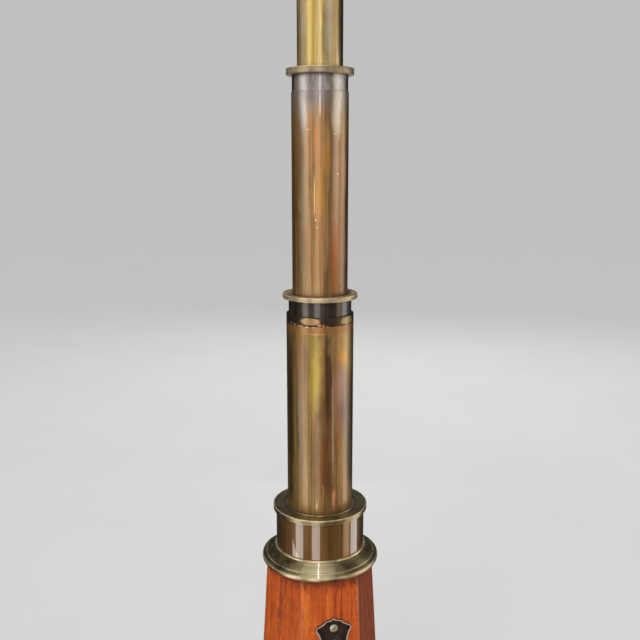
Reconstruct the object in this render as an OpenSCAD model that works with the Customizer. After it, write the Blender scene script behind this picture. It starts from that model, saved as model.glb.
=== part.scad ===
// Three-draw hand spyglass with a six-sided wooden barrel, drawn out to its full length.
// Millimetres, +Z up. The origin is the centre of the objective mouth, on which the spyglass stands.

/* [Barrel] */
// Length of the wooden barrel
barrel_len = 180; // [165:1:220]
// How far the barrel's corners stand out past the polished band at its narrow top
barrel_shoulder = 6.15; // [5.4:0.05:7]
// How much further out the corners are at the wide bottom than at the top
barrel_flare = 10.8; // [9.6:0.1:12]

/* [Collar on the barrel's top] */
// Height of the flange that lies on the wood
flange_h = 8.6; // [6:0.1:10]
// Thickness of the flange's outer lip
flange_lip = 2; // [1.5:0.1:2.5]
// How far each flange stands out past the wood's corners
flange_overhang = 2.3; // [1.5:0.1:3.5]
// Width of the flange's seat ring round the band
seat_ring = 0.9; // [0.6:0.1:1.4]
// Height of the polished band between flange and rim
band_h = 21.85; // [16:0.05:28]
// Wall of the polished band
band_wall = 3.4; // [2.6:0.1:3.8]
// Height of the collar's rim
rim_h = 3; // [2:0.1:4]
// How far the rim stands out past the band
rim_overhang = 1.65; // [1:0.05:2.5]
// Wall of the guide bush that the first draw slides in
bush_wall = 3.4; // [3:0.1:3.6]
// Length of that bush below the wood's top
bush_below = 12; // [8:0.5:20]

/* [Draw tubes] */
// Outer diameter of the first draw tube
tube_1_od = 38; // [37.5:0.1:38.5]
// Outer diameter of the second draw tube
tube_2_od = 31; // [30:0.1:31.6]
// Outer diameter of the third draw tube
tube_3_od = 24.6; // [24.2:0.1:25.2]
// Wall of the draw tubes
tube_wall = 0.9; // [0.7:0.1:1.1]
// Length of the first draw that shows, from rim to ring
draw_1_len = 122.7; // [100:0.1:128]
// Length of the second draw that shows, from ring to ring
draw_2_len = 117.1; // [100:0.1:122]
// Length of the third draw that shows, from ring to eyepiece
draw_3_len = 112; // [100:0.1:116]

/* [Draw rings] */
// Thickness of the ring on the first draw
ring_1_h = 2.7; // [2:0.1:4]
// Thickness of the ring on the second draw
ring_2_h = 3.5; // [2:0.1:4]
// How far the first ring stands out past its tube
ring_1_overhang = 2; // [1.5:0.05:3]
// How far the second ring stands out past its tube
ring_2_overhang = 2.7; // [1.5:0.05:3.5]
// Height of the neck between each ring and its tube
neck_h = 8.6; // [4:0.1:10]
// How far the first ring's neck lies inside its tube's surface
neck_1_inset = 1.3; // [0.8:0.1:1.5]
// How far the second ring's neck lies inside its tube's surface
neck_2_inset = 0.4; // [0.2:0.1:1.5]
// Length of the guide bush inside each draw tube
shank_len = 25; // [18:0.5:30]
// Height of the stop collar on each tube's lower end
stop_h = 8; // [5:0.5:10]

/* [Objective end] */
// Height of the objective cell below its flange
cell_h = 18; // [16:0.5:22]
// Outer radius of the objective cell, which a dust cap slips over
cell_r = 38; // [37:0.1:39]
// Wall of the cell's spigot round the lenses
spigot_wall = 2.6; // [2.2:0.1:3.2]
// Length of that spigot inside the wood
spigot_len = 14; // [10:0.5:18]
// Radius of the objective lenses
objective_r = 28.4; // [27.5:0.1:29]
// Width of the lip that the objective lenses rest on
aperture_lip = 2.4; // [1.9:0.1:4]
// Depth of the mouth in front of the lens seat
mouth_depth = 8; // [7:0.1:9]
// Radius of curvature of the crown lens
crown_curve = 150; // [140:1:200]
// Edge thickness of the crown lens
crown_edge = 2.6; // [2:0.1:4]
// Thickness of the flint lens at its centre
flint_centre = 3.6; // [3:0.1:4.5]

/* [Name plate] */
// Distance from the flange down to the plate's upper point
plate_drop = 25; // [18:0.5:40]
// Distance that the plate was fitted to the right of its face's middle
plate_shift = 1.8; // [0:0.1:2.2]
// Height of the plate from point to point
plate_len = 62; // [56:1:70]
// Half the plate's width at its ears
plate_ear = 10.7; // [9.8:0.1:12]
// Thickness of the plate
plate_t = 0.9; // [0.6:0.1:1.4]
// Radius of the plate's screw heads
screw_head_r = 2.3; // [1.6:0.1:2.5]
// Length of the plate's screws in the wood
screw_len = 4.5; // [3:0.1:5]

/* [Eyepiece] */
// Height of the turned eyepiece drum
drum_h = 20; // [16:0.5:26]
// Outer radius of the drum
drum_r = 17.3; // [16.8:0.1:19]
// Number of flutes in the knurled band
flute_count = 60; // [40:1:72]
// Depth of the knurled band's flutes
flute_depth = 0.5; // [0.3:0.05:0.7]
// Thickness of the eye cap
cap_h = 3.5; // [2.8:0.1:5]
// Radius of the eye hole
eye_hole_r = 3.5; // [2.5:0.1:3.8]
// Length of the inner tube that holds the eyepiece lenses
ocular_len = 46; // [36:1:56]
// Length of the erecting tube at the third draw's lower end
erector_len = 56; // [40:1:70]
// Radius of curvature of the small lenses
small_curve = 26; // [24:1:60]

/* [Dust shutter] */
// Distance from the optical axis to the shutter's pivot
pivot_off = 12.2; // [11.8:0.1:12.4]
// Radius of the shutter's disc
shutter_r = 4.8; // [4.4:0.1:5]
// Thickness of the shutter
shutter_t = 0.9; // [0.7:0.1:1.2]
// Angle by which the shutter is swung clear of the eye hole
shutter_open = 55; // [50:1:62]

/* [Clearances] */
// Radial running clearance of each sliding tube
running = 0.05; // [0.03:0.01:0.08]
// Clearance between pieces screwed or pushed into each other
fit = 0.04; // [0.02:0.01:0.08]
// Gap left where two moving pieces meet at a stop
stop_gap = 0.3; // [0.2:0.05:0.5]

/* [Hidden] */
$fn = 128;

// Colours, as the photograph shows them
wood = "#B4521F";
old_brass = "#7A6A3C";
polished_brass = "#8A6230";
tube_brass = "#8C7440";
gold_brass = "#A88A3C";
dark_bronze = "#2A2420";
lens_glass = "#C8DCE0";

// Radii of the draw tubes and of what they slide in
tube_1_r = tube_1_od / 2;
tube_2_r = tube_2_od / 2;
tube_3_r = tube_3_od / 2;
tube_1_in = tube_1_r - tube_wall;
tube_2_in = tube_2_r - tube_wall;
tube_3_in = tube_3_r - tube_wall;
barrel_bore = tube_1_r + running + bush_wall;
bush_r = barrel_bore - fit;
band_r = barrel_bore + band_wall;
barrel_top_r = band_r + barrel_shoulder;
barrel_base_r = barrel_top_r + barrel_flare;
spigot_r = objective_r + spigot_wall;
aperture_r = objective_r - aperture_lip;

// Heights of the objective end and of the barrel
wood_z = cell_h + flange_h;
top_z = wood_z + barrel_len;
cos_face = cos(30);
face_tilt = atan(barrel_flare * cos_face / barrel_len);

// Heights of the collar
band_top = top_z + flange_h + band_h;
rim_top = band_top + rim_h;
bush_bottom = top_z - bush_below;
flange_edge = 0.3;
seat_drop = 1;

// Heights of the first draw
ring_1_z = rim_top + draw_1_len;
ring_1_top = ring_1_z + ring_1_h;
tube_1_top = ring_1_z - neck_h;
tube_1_bottom = bush_bottom - stop_gap - stop_h;

// Heights of the second draw
ring_2_z = ring_1_top + draw_2_len;
ring_2_top = ring_2_z + ring_2_h;
tube_2_top = ring_2_z - neck_h;
tube_2_bottom = tube_1_top - shank_len - stop_gap - stop_h;

// Heights of the third draw and the eyepiece
drum_z = ring_2_top + draw_3_len;
drum_top = drum_z + drum_h;
drum_seat = 6;
tube_3_top = drum_z + drum_seat;
tube_3_bottom = tube_2_top - shank_len - stop_gap - stop_h;
cap_top = drum_top + cap_h;

// Objective lenses, from the mouth inwards
lens_seat = mouth_depth + 1.5;
crown_front = lens_seat - sag(crown_curve, aperture_r) + fit;
crown_back = crown_front + sag(crown_curve, objective_r) * 2 + crown_edge;
flint_back = crown_back + fit + flint_centre;
retainer_h = 3;
cell_bore = objective_r + fit;

// Name plate and its screws
plate_z = top_z - plate_drop;
screw_core = screw_head_r / 2;
screw_inset = 6.5;
screw_head_h = 0.9;
waist = plate_ear - 2.2;
plate_end = 14.5;
oval_w = 10.2;
oval_h = 21;
boss_w = 6.8;
boss_t = 0.5;

// Lens tubes inside the third draw
lens_tube_r = tube_3_in - fit;
lens_tube_wall = 1;
lens_seat_r = lens_tube_r - lens_tube_wall;
small_lens_r = lens_seat_r - fit;
small_edge = 1.2;
ocular_seat_r = tube_3_in + 2.6;
ocular_flange_h = 2;
cap_spigot = 1.2;
ocular_top = drum_top - cap_spigot;
ocular_bottom = ocular_top - ocular_len;
eye_lens_r = 6;
eye_lens_z = ocular_top - 3;
erector_inset = 5;
erector_front = tube_3_bottom + erector_inset;
erector_back = tube_3_bottom + erector_len - erector_inset;

// Dust shutter and its screw
shutter_gap = 0.15;
shutter_z = cap_top + shutter_gap;
boss_r = 3;
pivot_r = 1.5;
pivot_head_r = 2.5;
pivot_head_h = 1.2;
pivot_depth = 2.2;
thread_r = 1;

// Height of a spherical cap of the given curvature at the given radius
function sag(curve, r) = curve - sqrt(curve * curve - r * r);

// Points of a circular arc about (cx, cy)
function arc(cx, cy, r, a0, a1, n = 8) =
    [for (i = [0:n]) let (a = a0 + (a1 - a0) * i / n) [cx + r * cos(a), cy + r * sin(a)]];

// The same points mirrored to the other side and in reverse, so that an outline closes
function mirrored(points) =
    [for (i = [len(points) - 1:-1:0]) [-points[i][0], points[i][1]]];

// A solid turned on the optical axis from a profile of [radius, height] points
module turned(points) {
    rotate_extrude() polygon(points);
}

// A plain ring on the optical axis
module ring(outer, inner, z0, z1) {
    translate([0, 0, z0])
        difference() {
            cylinder(h = z1 - z0, r = outer);
            translate([0, 0, -1])
                cylinder(h = z1 - z0 + 2, r = inner);
        }
}

// A ring with its four outer and inner edges broken by a small chamfer
module soft_ring(outer, inner, z0, z1, c = 0.35) {
    turned([[inner + c, z0], [outer - c, z0], [outer, z0 + c], [outer, z1 - c],
            [outer - c, z1], [inner + c, z1], [inner, z1 - c], [inner, z0 + c]]);
}

// Sets its children on the barrel's front face, at a height, with local +Z pointing out of the face
module on_face(z) {
    corner = barrel_top_r + barrel_flare * (top_z - z) / barrel_len;
    translate([0, -corner * cos_face, z])
        rotate([90 - face_tilt, 0, 0])
            children();
}

// Flange for wood of the given corner radius: a lip, a smooth cone and a seat ring round its hole
module flange(corner, hole) {
    outer = corner + flange_overhang;
    seat = hole + seat_ring;
    turned([[hole, 0], [outer - flange_edge, 0], [outer, flange_edge],
            [outer, flange_lip - flange_edge], [outer - flange_edge, flange_lip],
            [seat, flange_h - seat_drop], [seat - flange_edge, flange_h], [hole, flange_h]]);
}

// Guide ring of a draw: rim, neck and the shank inside the tube, bored for the next tube
module draw_ring(tube_r, tube_in, next_r, overhang, inset, z, h) {
    bore = next_r + running;
    outer = tube_r + overhang;
    neck = tube_r - inset;
    shank = tube_in - fit;
    mouth = bore + (tube_r - bore) * 0.6;
    turned([[bore, z - neck_h - shank_len], [shank, z - neck_h - shank_len],
            [shank, z - neck_h], [neck, z - neck_h], [neck, z],
            [outer - 0.4, z], [outer, z + 0.4], [outer, z + h - 0.4], [outer - 0.4, z + h],
            [mouth, z + h], [bore, z + h - 1.2]]);
}

// Draw tube with both its outer ends slightly broken
module draw_tube(outer, inner, z0, z1) {
    turned([[inner, z0], [outer - 0.2, z0], [outer, z0 + 0.2], [outer, z1 - 0.15],
            [outer - 0.15, z1], [inner, z1]]);
}

// Points of a lens face from its middle out to radius r, with its middle at z, rising or falling
function lens_face(z, curve, r, way, n = 12) =
    [for (i = [0:n]) let (x = r * i / n) [x, z + way * sag(curve, x)]];

// The same points from the edge in to the middle
function inwards(points) = [for (i = [len(points) - 1:-1:0]) points[i]];

// Plano-convex lens, flat at z0 and bulging up by its curve, or down when flipped
module plano_convex(r, edge, curve, z0, down = false) {
    crest = edge + sag(curve, r);
    translate([0, 0, z0])
        mirror([0, 0, down ? 1 : 0])
            turned(concat([[0, 0], [r, 0]], inwards(lens_face(crest, curve, r, -1))));
}

// Screw with a domed, slotted head on local z = 0 and its shank below
module dome_screw(head_r, head_h, shank_r, shank_len) {
    curve = (head_r * head_r + head_h * head_h) / (2 * head_h);
    translate([0, 0, -shank_len])
        cylinder(h = shank_len, r = shank_r);
    difference() {
        intersection() {
            cylinder(h = head_h, r = head_r);
            translate([0, 0, head_h - curve])
                sphere(r = curve);
        }
        translate([-head_r - 1, -0.25, head_h * 0.45])
            cube([head_r * 2 + 2, 0.5, head_h]);
    }
}

// Right half of the plate's outline, from its upper point down to the middle
function plate_side() = concat(
    [[0, 0], [0.8, -0.8], [1.9, -1.3], [3.6, -1.6], [5.2, -2.3], [5.7, -3.2], [7.4, -4]],
    arc(plate_ear - 2.2, -7, 2.2, 75, -40, 5),
    [[plate_ear - 1.2, -9.4], [waist, -12], [waist - 0.3, -plate_end]]);

// Whole plate: two ornamental ends and an oval middle
module plate_outline() {
    half = plate_side();
    ends = concat(half, mirrored(half));
    polygon(ends);
    translate([0, -plate_len])
        mirror([0, 1])
            polygon(ends);
    translate([-waist + 0.3, -plate_len + plate_end - 0.1])
        square([2 * waist - 0.6, plate_len - 2 * plate_end + 0.2]);
    translate([0, -plate_len / 2])
        polygon([for (a = [0:6:354]) [oval_w * cos(a), oval_h * sin(a)]]);
}

// Places its children at both screws of the plate
module at_plate_screws() {
    for (y = [-screw_inset, -plate_len + screw_inset])
        on_face(plate_z)
            translate([plate_shift, y, 0])
                children();
}

module wood_barrel() {
    color(wood)
        difference() {
            translate([0, 0, wood_z])
                cylinder(h = barrel_len, r1 = barrel_base_r, r2 = barrel_top_r, $fn = 6);
            translate([0, 0, wood_z - 1])
                cylinder(h = barrel_len + 2, r = barrel_bore);
            translate([0, 0, wood_z - 1])
                cylinder(h = spigot_len + 1 + fit, r = spigot_r + fit);
            at_plate_screws()
                translate([0, 0, plate_t - screw_len - 0.2])
                    cylinder(h = screw_len + 1, r = screw_core + fit);
        }
}

module barrel_flange() {
    color(old_brass)
        translate([0, 0, top_z])
            flange(barrel_top_r, band_r + fit);
}

module collar_band() {
    color(polished_brass)
        ring(band_r, barrel_bore, top_z, band_top);
}

module collar_rim() {
    outer = band_r + rim_overhang;
    bore = tube_1_r + running;
    groove = bore + 1.6;
    color(old_brass)
        turned([[bore, bush_bottom], [bush_r, bush_bottom], [bush_r, band_top],
                [outer - 0.4, band_top], [outer, band_top + 0.4], [outer, rim_top - 0.4],
                [outer - 0.4, rim_top], [groove + 0.5, rim_top], [groove + 0.3, rim_top - 0.4],
                [groove, rim_top - 0.4], [groove - 0.2, rim_top], [bore + 0.4, rim_top],
                [bore, rim_top - 0.4]]);
}

module name_plate() {
    color(dark_bronze)
        difference() {
            on_face(plate_z) translate([plate_shift, 0, 0]) {
                linear_extrude(plate_t)
                    plate_outline();
                translate([0, -plate_len / 2, plate_t])
                    linear_extrude(boss_t)
                        difference() {
                            polygon([for (a = [0:6:354])
                                [(oval_w - 1.2) * cos(a), (oval_h - 1.2) * sin(a)]]);
                            polygon([for (a = [0:6:354])
                                [(oval_w - 2.2) * cos(a), (oval_h - 2.2) * sin(a)]]);
                        }
                translate([0, -plate_len / 2, plate_t])
                    linear_extrude(boss_t)
                        polygon([for (a = [0:6:354])
                            [boss_w * cos(a), (oval_h - 3.6) * sin(a)]]);
            }
            at_plate_screws()
                translate([0, 0, -1])
                    cylinder(h = plate_t + 2, r = screw_core + fit);
        }
}

module plate_screws() {
    color(gold_brass)
        at_plate_screws()
            translate([0, 0, plate_t])
                rotate([0, 0, -35])
                    dome_screw(screw_head_r, screw_head_h, screw_core, screw_len);
}

module objective_flange() {
    color(old_brass)
        translate([0, 0, wood_z])
            mirror([0, 0, 1])
                flange(barrel_base_r, spigot_r + fit);
}

module objective_cell() {
    color(polished_brass)
        turned([[cell_r - 3.5, 0], [cell_r - 0.4, 0], [cell_r, 0.4], [cell_r, cell_h - 1.6],
                [cell_r + 0.7, cell_h - 1.1], [cell_r + 0.7, cell_h - 0.5],
                [cell_r, cell_h], [spigot_r, cell_h],
                [spigot_r, wood_z + spigot_len], [cell_bore, wood_z + spigot_len],
                [cell_bore, lens_seat], [aperture_r, lens_seat], [aperture_r, mouth_depth]]);
}

module crown_lens() {
    color(lens_glass)
        turned(concat(lens_face(crown_front, crown_curve, objective_r, 1),
                      inwards(lens_face(crown_back, crown_curve, objective_r, -1))));
}

module flint_lens() {
    color(lens_glass)
        turned(concat(lens_face(crown_back + fit, crown_curve, objective_r, -1),
                      [[objective_r, flint_back], [0, flint_back]]));
}

module objective_retainer() {
    color(dark_bronze)
        ring(objective_r, aperture_r, flint_back, flint_back + retainer_h);
}

module draw_tube_1() {
    color(tube_brass)
        draw_tube(tube_1_r, tube_1_in, tube_1_bottom, tube_1_top);
}

module draw_ring_1() {
    color(old_brass)
        draw_ring(tube_1_r, tube_1_in, tube_2_r, ring_1_overhang, neck_1_inset, ring_1_z,
                  ring_1_h);
}

module stop_collar_1() {
    color(old_brass)
        soft_ring(barrel_bore - running, tube_1_r, tube_1_bottom, tube_1_bottom + stop_h);
}

module draw_tube_2() {
    color(tube_brass)
        draw_tube(tube_2_r, tube_2_in, tube_2_bottom, tube_2_top);
}

module draw_ring_2() {
    color(old_brass)
        draw_ring(tube_2_r, tube_2_in, tube_3_r, ring_2_overhang, neck_2_inset, ring_2_z,
                  ring_2_h);
}

module stop_collar_2() {
    color(old_brass)
        soft_ring(tube_1_in - running, tube_2_r, tube_2_bottom, tube_2_bottom + stop_h);
}

module draw_tube_3() {
    color(gold_brass)
        draw_tube(tube_3_r, tube_3_in, tube_3_bottom, tube_3_top);
}

module stop_collar_3() {
    color(old_brass)
        soft_ring(tube_2_in - running, tube_3_r, tube_3_bottom, tube_3_bottom + stop_h);
}

module erector_tube() {
    color(dark_bronze)
        turned([[lens_seat_r, tube_3_bottom], [lens_tube_r, tube_3_bottom],
                [lens_tube_r, tube_3_bottom + erector_len],
                [lens_seat_r, tube_3_bottom + erector_len]]);
}

module erector_lens_front() {
    color(lens_glass)
        plano_convex(small_lens_r, small_edge, small_curve, erector_front);
}

module erector_lens_back() {
    color(lens_glass)
        plano_convex(small_lens_r, small_edge, small_curve, erector_back, down = true);
}

module erector_stop() {
    color(dark_bronze)
        ring(small_lens_r, 2, tube_3_bottom + erector_len / 2 - 0.5,
             tube_3_bottom + erector_len / 2 + 0.5);
}

module eyepiece_drum() {
    waist_z = drum_z + 2.6;
    knurl_z = drum_z + drum_h * 0.35;
    knurl_top = drum_z + drum_h * 0.8;
    color(old_brass)
        difference() {
            union() {
                turned([[tube_3_in, drum_z], [drum_r - 0.4, drum_z], [drum_r, drum_z + 0.4],
                        [drum_r, waist_z - 0.4], [drum_r - 0.4, waist_z],
                        [drum_r - 2.2, waist_z + 0.8], [drum_r - 1.6, knurl_z],
                        [drum_r - 1.6, knurl_top], [drum_r - 1.2, knurl_top + 0.6],
                        [drum_r, knurl_top + 1.2], [drum_r, drum_top - 0.5],
                        [drum_r - 0.5, drum_top], [tube_3_in, drum_top]]);
                translate([0, 0, knurl_z])
                    linear_extrude(knurl_top - knurl_z)
                        difference() {
                            polygon([for (i = [0:2 * flute_count - 1])
                                let (a = 180 * i / flute_count,
                                     r = drum_r - 0.2 - (i % 2) * flute_depth)
                                [r * cos(a), r * sin(a)]]);
                            circle(r = drum_r - 3);
                        }
            }
            translate([0, 0, drum_z - 1])
                cylinder(h = drum_seat + 1, r = tube_3_r + fit);
            translate([0, 0, ocular_top - ocular_flange_h])
                cylinder(h = ocular_flange_h + cap_spigot + 1, r = ocular_seat_r + fit);
        }
}

// The ocular tube hangs in the third draw from a flange let into the drum
module ocular_tube() {
    color(dark_bronze)
        turned([[lens_seat_r, ocular_bottom], [lens_tube_r, ocular_bottom],
                [lens_tube_r, ocular_top - ocular_flange_h],
                [ocular_seat_r, ocular_top - ocular_flange_h], [ocular_seat_r, ocular_top],
                [eye_lens_r + fit, ocular_top], [eye_lens_r + fit, eye_lens_z],
                [eye_lens_r - 1, eye_lens_z], [eye_lens_r - 1, eye_lens_z - 1.5],
                [lens_seat_r, eye_lens_z - 3.5]]);
}

module field_lens() {
    color(lens_glass)
        plano_convex(small_lens_r, small_edge, small_curve, ocular_bottom + 6, down = true);
}

module field_stop() {
    color(dark_bronze)
        ring(small_lens_r, 5, ocular_bottom + ocular_len * 0.5,
             ocular_bottom + ocular_len * 0.5 + 1);
}

module eye_lens() {
    color(lens_glass)
        plano_convex(eye_lens_r, 0.8, small_curve * 0.6, eye_lens_z + fit);
}

module eye_cap() {
    rim = drum_r - 0.6;
    color(old_brass)
        difference() {
            turned([[0, ocular_top + fit], [ocular_seat_r, ocular_top + fit],
                    [ocular_seat_r, drum_top + fit], [rim, drum_top + fit],
                    [rim, cap_top - 0.8], [rim - 0.8, cap_top], [0, cap_top]]);
            translate([0, 0, ocular_top - 1])
                cylinder(h = cap_h + cap_spigot + 2, r = eye_hole_r);
            translate([pivot_off, 0, cap_top - pivot_depth])
                cylinder(h = pivot_depth + 1, r = thread_r + fit);
        }
}

// Shoulder screw on which the shutter turns: thread, shoulder and slotted head
module shutter_screw() {
    head_z = shutter_z + shutter_t + shutter_gap;
    color(gold_brass)
        translate([pivot_off, 0, 0]) {
            translate([0, 0, cap_top - pivot_depth])
                cylinder(h = pivot_depth, r = thread_r);
            translate([0, 0, cap_top])
                cylinder(h = head_z - cap_top, r = pivot_r);
            translate([0, 0, head_z])
                difference() {
                    cylinder(h = pivot_head_h, r = pivot_head_r);
                    translate([-pivot_head_r - 1, -0.3, pivot_head_h * 0.5])
                        cube([2 * pivot_head_r + 2, 0.6, pivot_head_h]);
                }
        }
}

// Teardrop plate that swings over the eye hole, with a small thumb pin
module eye_shutter() {
    color(gold_brass)
        translate([pivot_off, 0, shutter_z])
            rotate([0, 0, -shutter_open])
                difference() {
                    union() {
                        linear_extrude(shutter_t) {
                            circle(r = boss_r);
                            translate([-pivot_off, 0])
                                circle(r = shutter_r);
                            polygon([[0, boss_r - 0.2], [-pivot_off, shutter_r - 0.6],
                                     [-pivot_off, -shutter_r + 0.6], [0, -boss_r + 0.2]]);
                        }
                        translate([-pivot_off, 0, 0])
                            cylinder(h = shutter_t + 1.8, r = 1.1);
                    }
                    translate([0, 0, -1])
                        cylinder(h = shutter_t + 2, r = pivot_r + running);
                }
}

wood_barrel();
barrel_flange();
collar_band();
collar_rim();
name_plate();
plate_screws();
objective_flange();
objective_cell();
crown_lens();
flint_lens();
objective_retainer();
draw_tube_1();
draw_ring_1();
stop_collar_1();
draw_tube_2();
draw_ring_2();
stop_collar_2();
draw_tube_3();
stop_collar_3();
erector_tube();
erector_lens_front();
erector_lens_back();
erector_stop();
eyepiece_drum();
ocular_tube();
field_lens();
field_stop();
eye_lens();
eye_cap();
shutter_screw();
eye_shutter();
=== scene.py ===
# %% [markdown]
# # A three-draw spyglass, dressed for its picture
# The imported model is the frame: every solid is already in its place, in metres, standing on its
# objective mouth with +Z up. This script keeps those places and gives each visible piece its finish.
# Most of the spyglass is turned on a lathe, so most of its pieces are made again here as smooth
# turned shapes over the faceted solids, from the same sizes.

# %% Load the frame
import math
import bmesh
import bpy
from mathutils import Matrix, Vector


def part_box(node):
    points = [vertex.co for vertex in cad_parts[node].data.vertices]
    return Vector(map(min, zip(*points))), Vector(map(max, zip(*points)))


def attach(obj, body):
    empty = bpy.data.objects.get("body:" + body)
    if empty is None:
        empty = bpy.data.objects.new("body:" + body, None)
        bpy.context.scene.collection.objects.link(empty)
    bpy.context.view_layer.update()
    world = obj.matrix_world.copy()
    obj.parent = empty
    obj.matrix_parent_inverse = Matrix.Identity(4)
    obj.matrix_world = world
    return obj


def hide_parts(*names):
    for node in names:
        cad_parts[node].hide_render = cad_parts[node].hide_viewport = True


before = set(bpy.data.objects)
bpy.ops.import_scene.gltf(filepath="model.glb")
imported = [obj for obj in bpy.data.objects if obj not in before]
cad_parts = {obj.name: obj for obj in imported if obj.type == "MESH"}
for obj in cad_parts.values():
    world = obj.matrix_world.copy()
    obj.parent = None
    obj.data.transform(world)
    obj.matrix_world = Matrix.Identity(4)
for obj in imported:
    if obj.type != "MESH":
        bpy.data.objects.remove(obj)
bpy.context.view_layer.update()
MM = 0.001

# %% [markdown]
# ## Sizes read off the solids
# A node's box says where the solid starts and ends and how far out it reaches. Reading these keeps
# the dressed pieces on their carriers, whatever the solids are changed to later.

# %% Heights and radii in millimetres


def span(node):
    """The lowest height, highest height and outer radius of a node that is turned on the axis."""
    low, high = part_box(node)
    return low[2] / MM, high[2] / MM, high[0] / MM


WOOD_LOW, WOOD_TOP, _ = span("wood_barrel")
_, FLANGE_TOP, FLANGE_R = span("barrel_flange")
_, BAND_TOP, BAND_R = span("collar_band")
BUSH_LOW, RIM_TOP, RIM_R = span("collar_rim")
print("wood", WOOD_LOW, WOOD_TOP, "flange", FLANGE_R, "band", BAND_R, "rim", RIM_TOP, RIM_R)

# %% [markdown]
# ## The camera
# It stands a little below the topmost draw ring, turned 11.7 degrees to one side of the plate's face
# and tipped 11.4 degrees down, so that the upper tube and the barrel leave the picture at its top and
# bottom. The ellipses of four rings, from the flange to the topmost, agree only with this tip and a
# 45 mm lens: the lower rings are seen from above, and the topmost a little from below.

# %% Place the camera


def new_object(name, data):
    """An object of this data, linked into the scene."""
    made = bpy.data.objects.new(name, data)
    bpy.context.scene.collection.objects.link(made)
    return made


TURN, TIP, AWAY, EYE_HEIGHT = math.radians(11.7), math.radians(11.4), 0.4441, 0.4391
# FRONT points from the axis towards the camera, and RIGHT to the right of its picture.
FRONT = Vector((-math.sin(TURN), -math.cos(TURN), 0))
RIGHT = Vector((math.cos(TURN), -math.sin(TURN), 0))
camera = new_object("Camera", bpy.data.cameras.new("Camera"))
camera.location = (-math.sin(TURN) * AWAY, -math.cos(TURN) * AWAY, EYE_HEIGHT)
camera.rotation_euler = (math.radians(90) - TIP, 0, -TURN)
camera.data.lens, camera.data.sensor_width = 45, 36
camera.data.clip_start, camera.data.clip_end = 0.01, 50
bpy.context.scene.camera = camera
print("camera", [round(c, 4) for c in camera.location])

# %% [markdown]
# ## Light
# Old lacquered brass shows its form by what it mirrors: a few upright strips of light with darkness
# between them. So upright soft boxes stand close to the spyglass and are seen only in reflections,
# and they reach far below the floor, because the collar is seen from above and mirrors what lies
# low. A large soft light lights the wood, the plate and the tarnish, and a weaker one lights the back.

# %% Strip lights and soft lights


def on_circle(degrees, radius=1.0):
    """A point on a circle round the origin, at an angle from the first axis."""
    angle = math.radians(degrees)
    return radius * math.cos(angle), radius * math.sin(angle)


def soft_box(name, bearing, distance, width, low, high, bright, mirrored=True, lit=False,
             colour=(1, 1, 1), lean=0.0):
    """An upright area light facing the axis, at a bearing in degrees to the right of the camera.
    Its brightness is given for its area, so that a longer box is as bright as a short one."""
    data = bpy.data.lights.new(name, "AREA")
    data.shape, data.size, data.size_y = "RECTANGLE", width, high - low
    data.energy, data.color = bright * math.pi * width * (high - low), colour
    box = new_object(name, data)
    ahead, aside = on_circle(bearing)
    way = FRONT * ahead + RIGHT * aside
    box.location = way * distance + Vector((0, 0, (low + high) / 2))
    facing = way.to_track_quat("Z", "Y").to_matrix() @ Matrix.Rotation(math.radians(lean), 3, "Z")
    box.rotation_euler = facing.to_euler()
    box.visible_glossy, box.visible_diffuse = mirrored, lit
    return box


def aim(box, high):
    """The light turned to face a height on the axis."""
    box.rotation_euler = (box.location - Vector((0, 0, high))).to_track_quat("Z", "Y").to_euler()


NEAR, BELOW, BARREL_MIDDLE = 0.45, -0.9, 0.2
soft_box("strip_left", -54, NEAR, 0.17, BELOW, 1.3, 2.4)
soft_box("strip_left_foot", -75, NEAR, 0.20, BELOW, 0.0, 2.4, lean=-13)
soft_box("strip_middle", -10, NEAR, 0.16, BELOW, 0.49, 2.3)
soft_box("strip_right", 98, NEAR, 0.20, BELOW, 0.56, 2.2)
soft_box("strip_warm", 71, NEAR, 0.14, BELOW, 0.56, 1.5, colour=(1.0, 0.72, 0.46))
soft_box("line_low", 45, NEAR, 0.016, 0.085, 0.2, 16.0)
soft_box("line_high", 2, NEAR, 0.016, 0.49, 0.9, 14.0)
soft_box("strip_back", 180, 0.6, 0.22, BELOW, 0.36, 1.4)
aim(soft_box("lamp_above", -7, 0.42, 0.035, 1.4, 2.0, 28.0), BARREL_MIDDLE)
ceiling = soft_box("ceiling", -4, 0.25, 1.2, 1.6, 2.6, 1.4)
ceiling.location.z, ceiling.rotation_euler = 2.0, (0, 0, 0)
aim(soft_box("soft_key", -12, 1.1, 0.8, 0.5, 1.3, 7.6, mirrored=False, lit=True), BARREL_MIDDLE)
aim(soft_box("soft_fill", 172, 1.3, 1.0, 0.5, 1.5, 4.0, mirrored=False, lit=True), BARREL_MIDDLE)

# %% [markdown]
# ## The room
# The room behind the strips is dim in reflections but pale to the camera. A world can be both,
# because its graph of nodes can ask which kind of ray sees it. Writing each node, its settings and
# its links on one line keeps such a graph readable, so one helper adds any node.

# %% Background


def add(tree, kind, inputs=None, **settings):
    """A node with its settings and its inputs, each input a plain value or another node's socket."""
    node = tree.nodes.new(kind)
    for key, value in settings.items():
        setattr(node, key, value)
    for key, value in (inputs or {}).items():
        if isinstance(value, bpy.types.NodeSocket):
            tree.links.new(value, node.inputs[key])
        else:
            node.inputs[key].default_value = value
    return node


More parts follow.
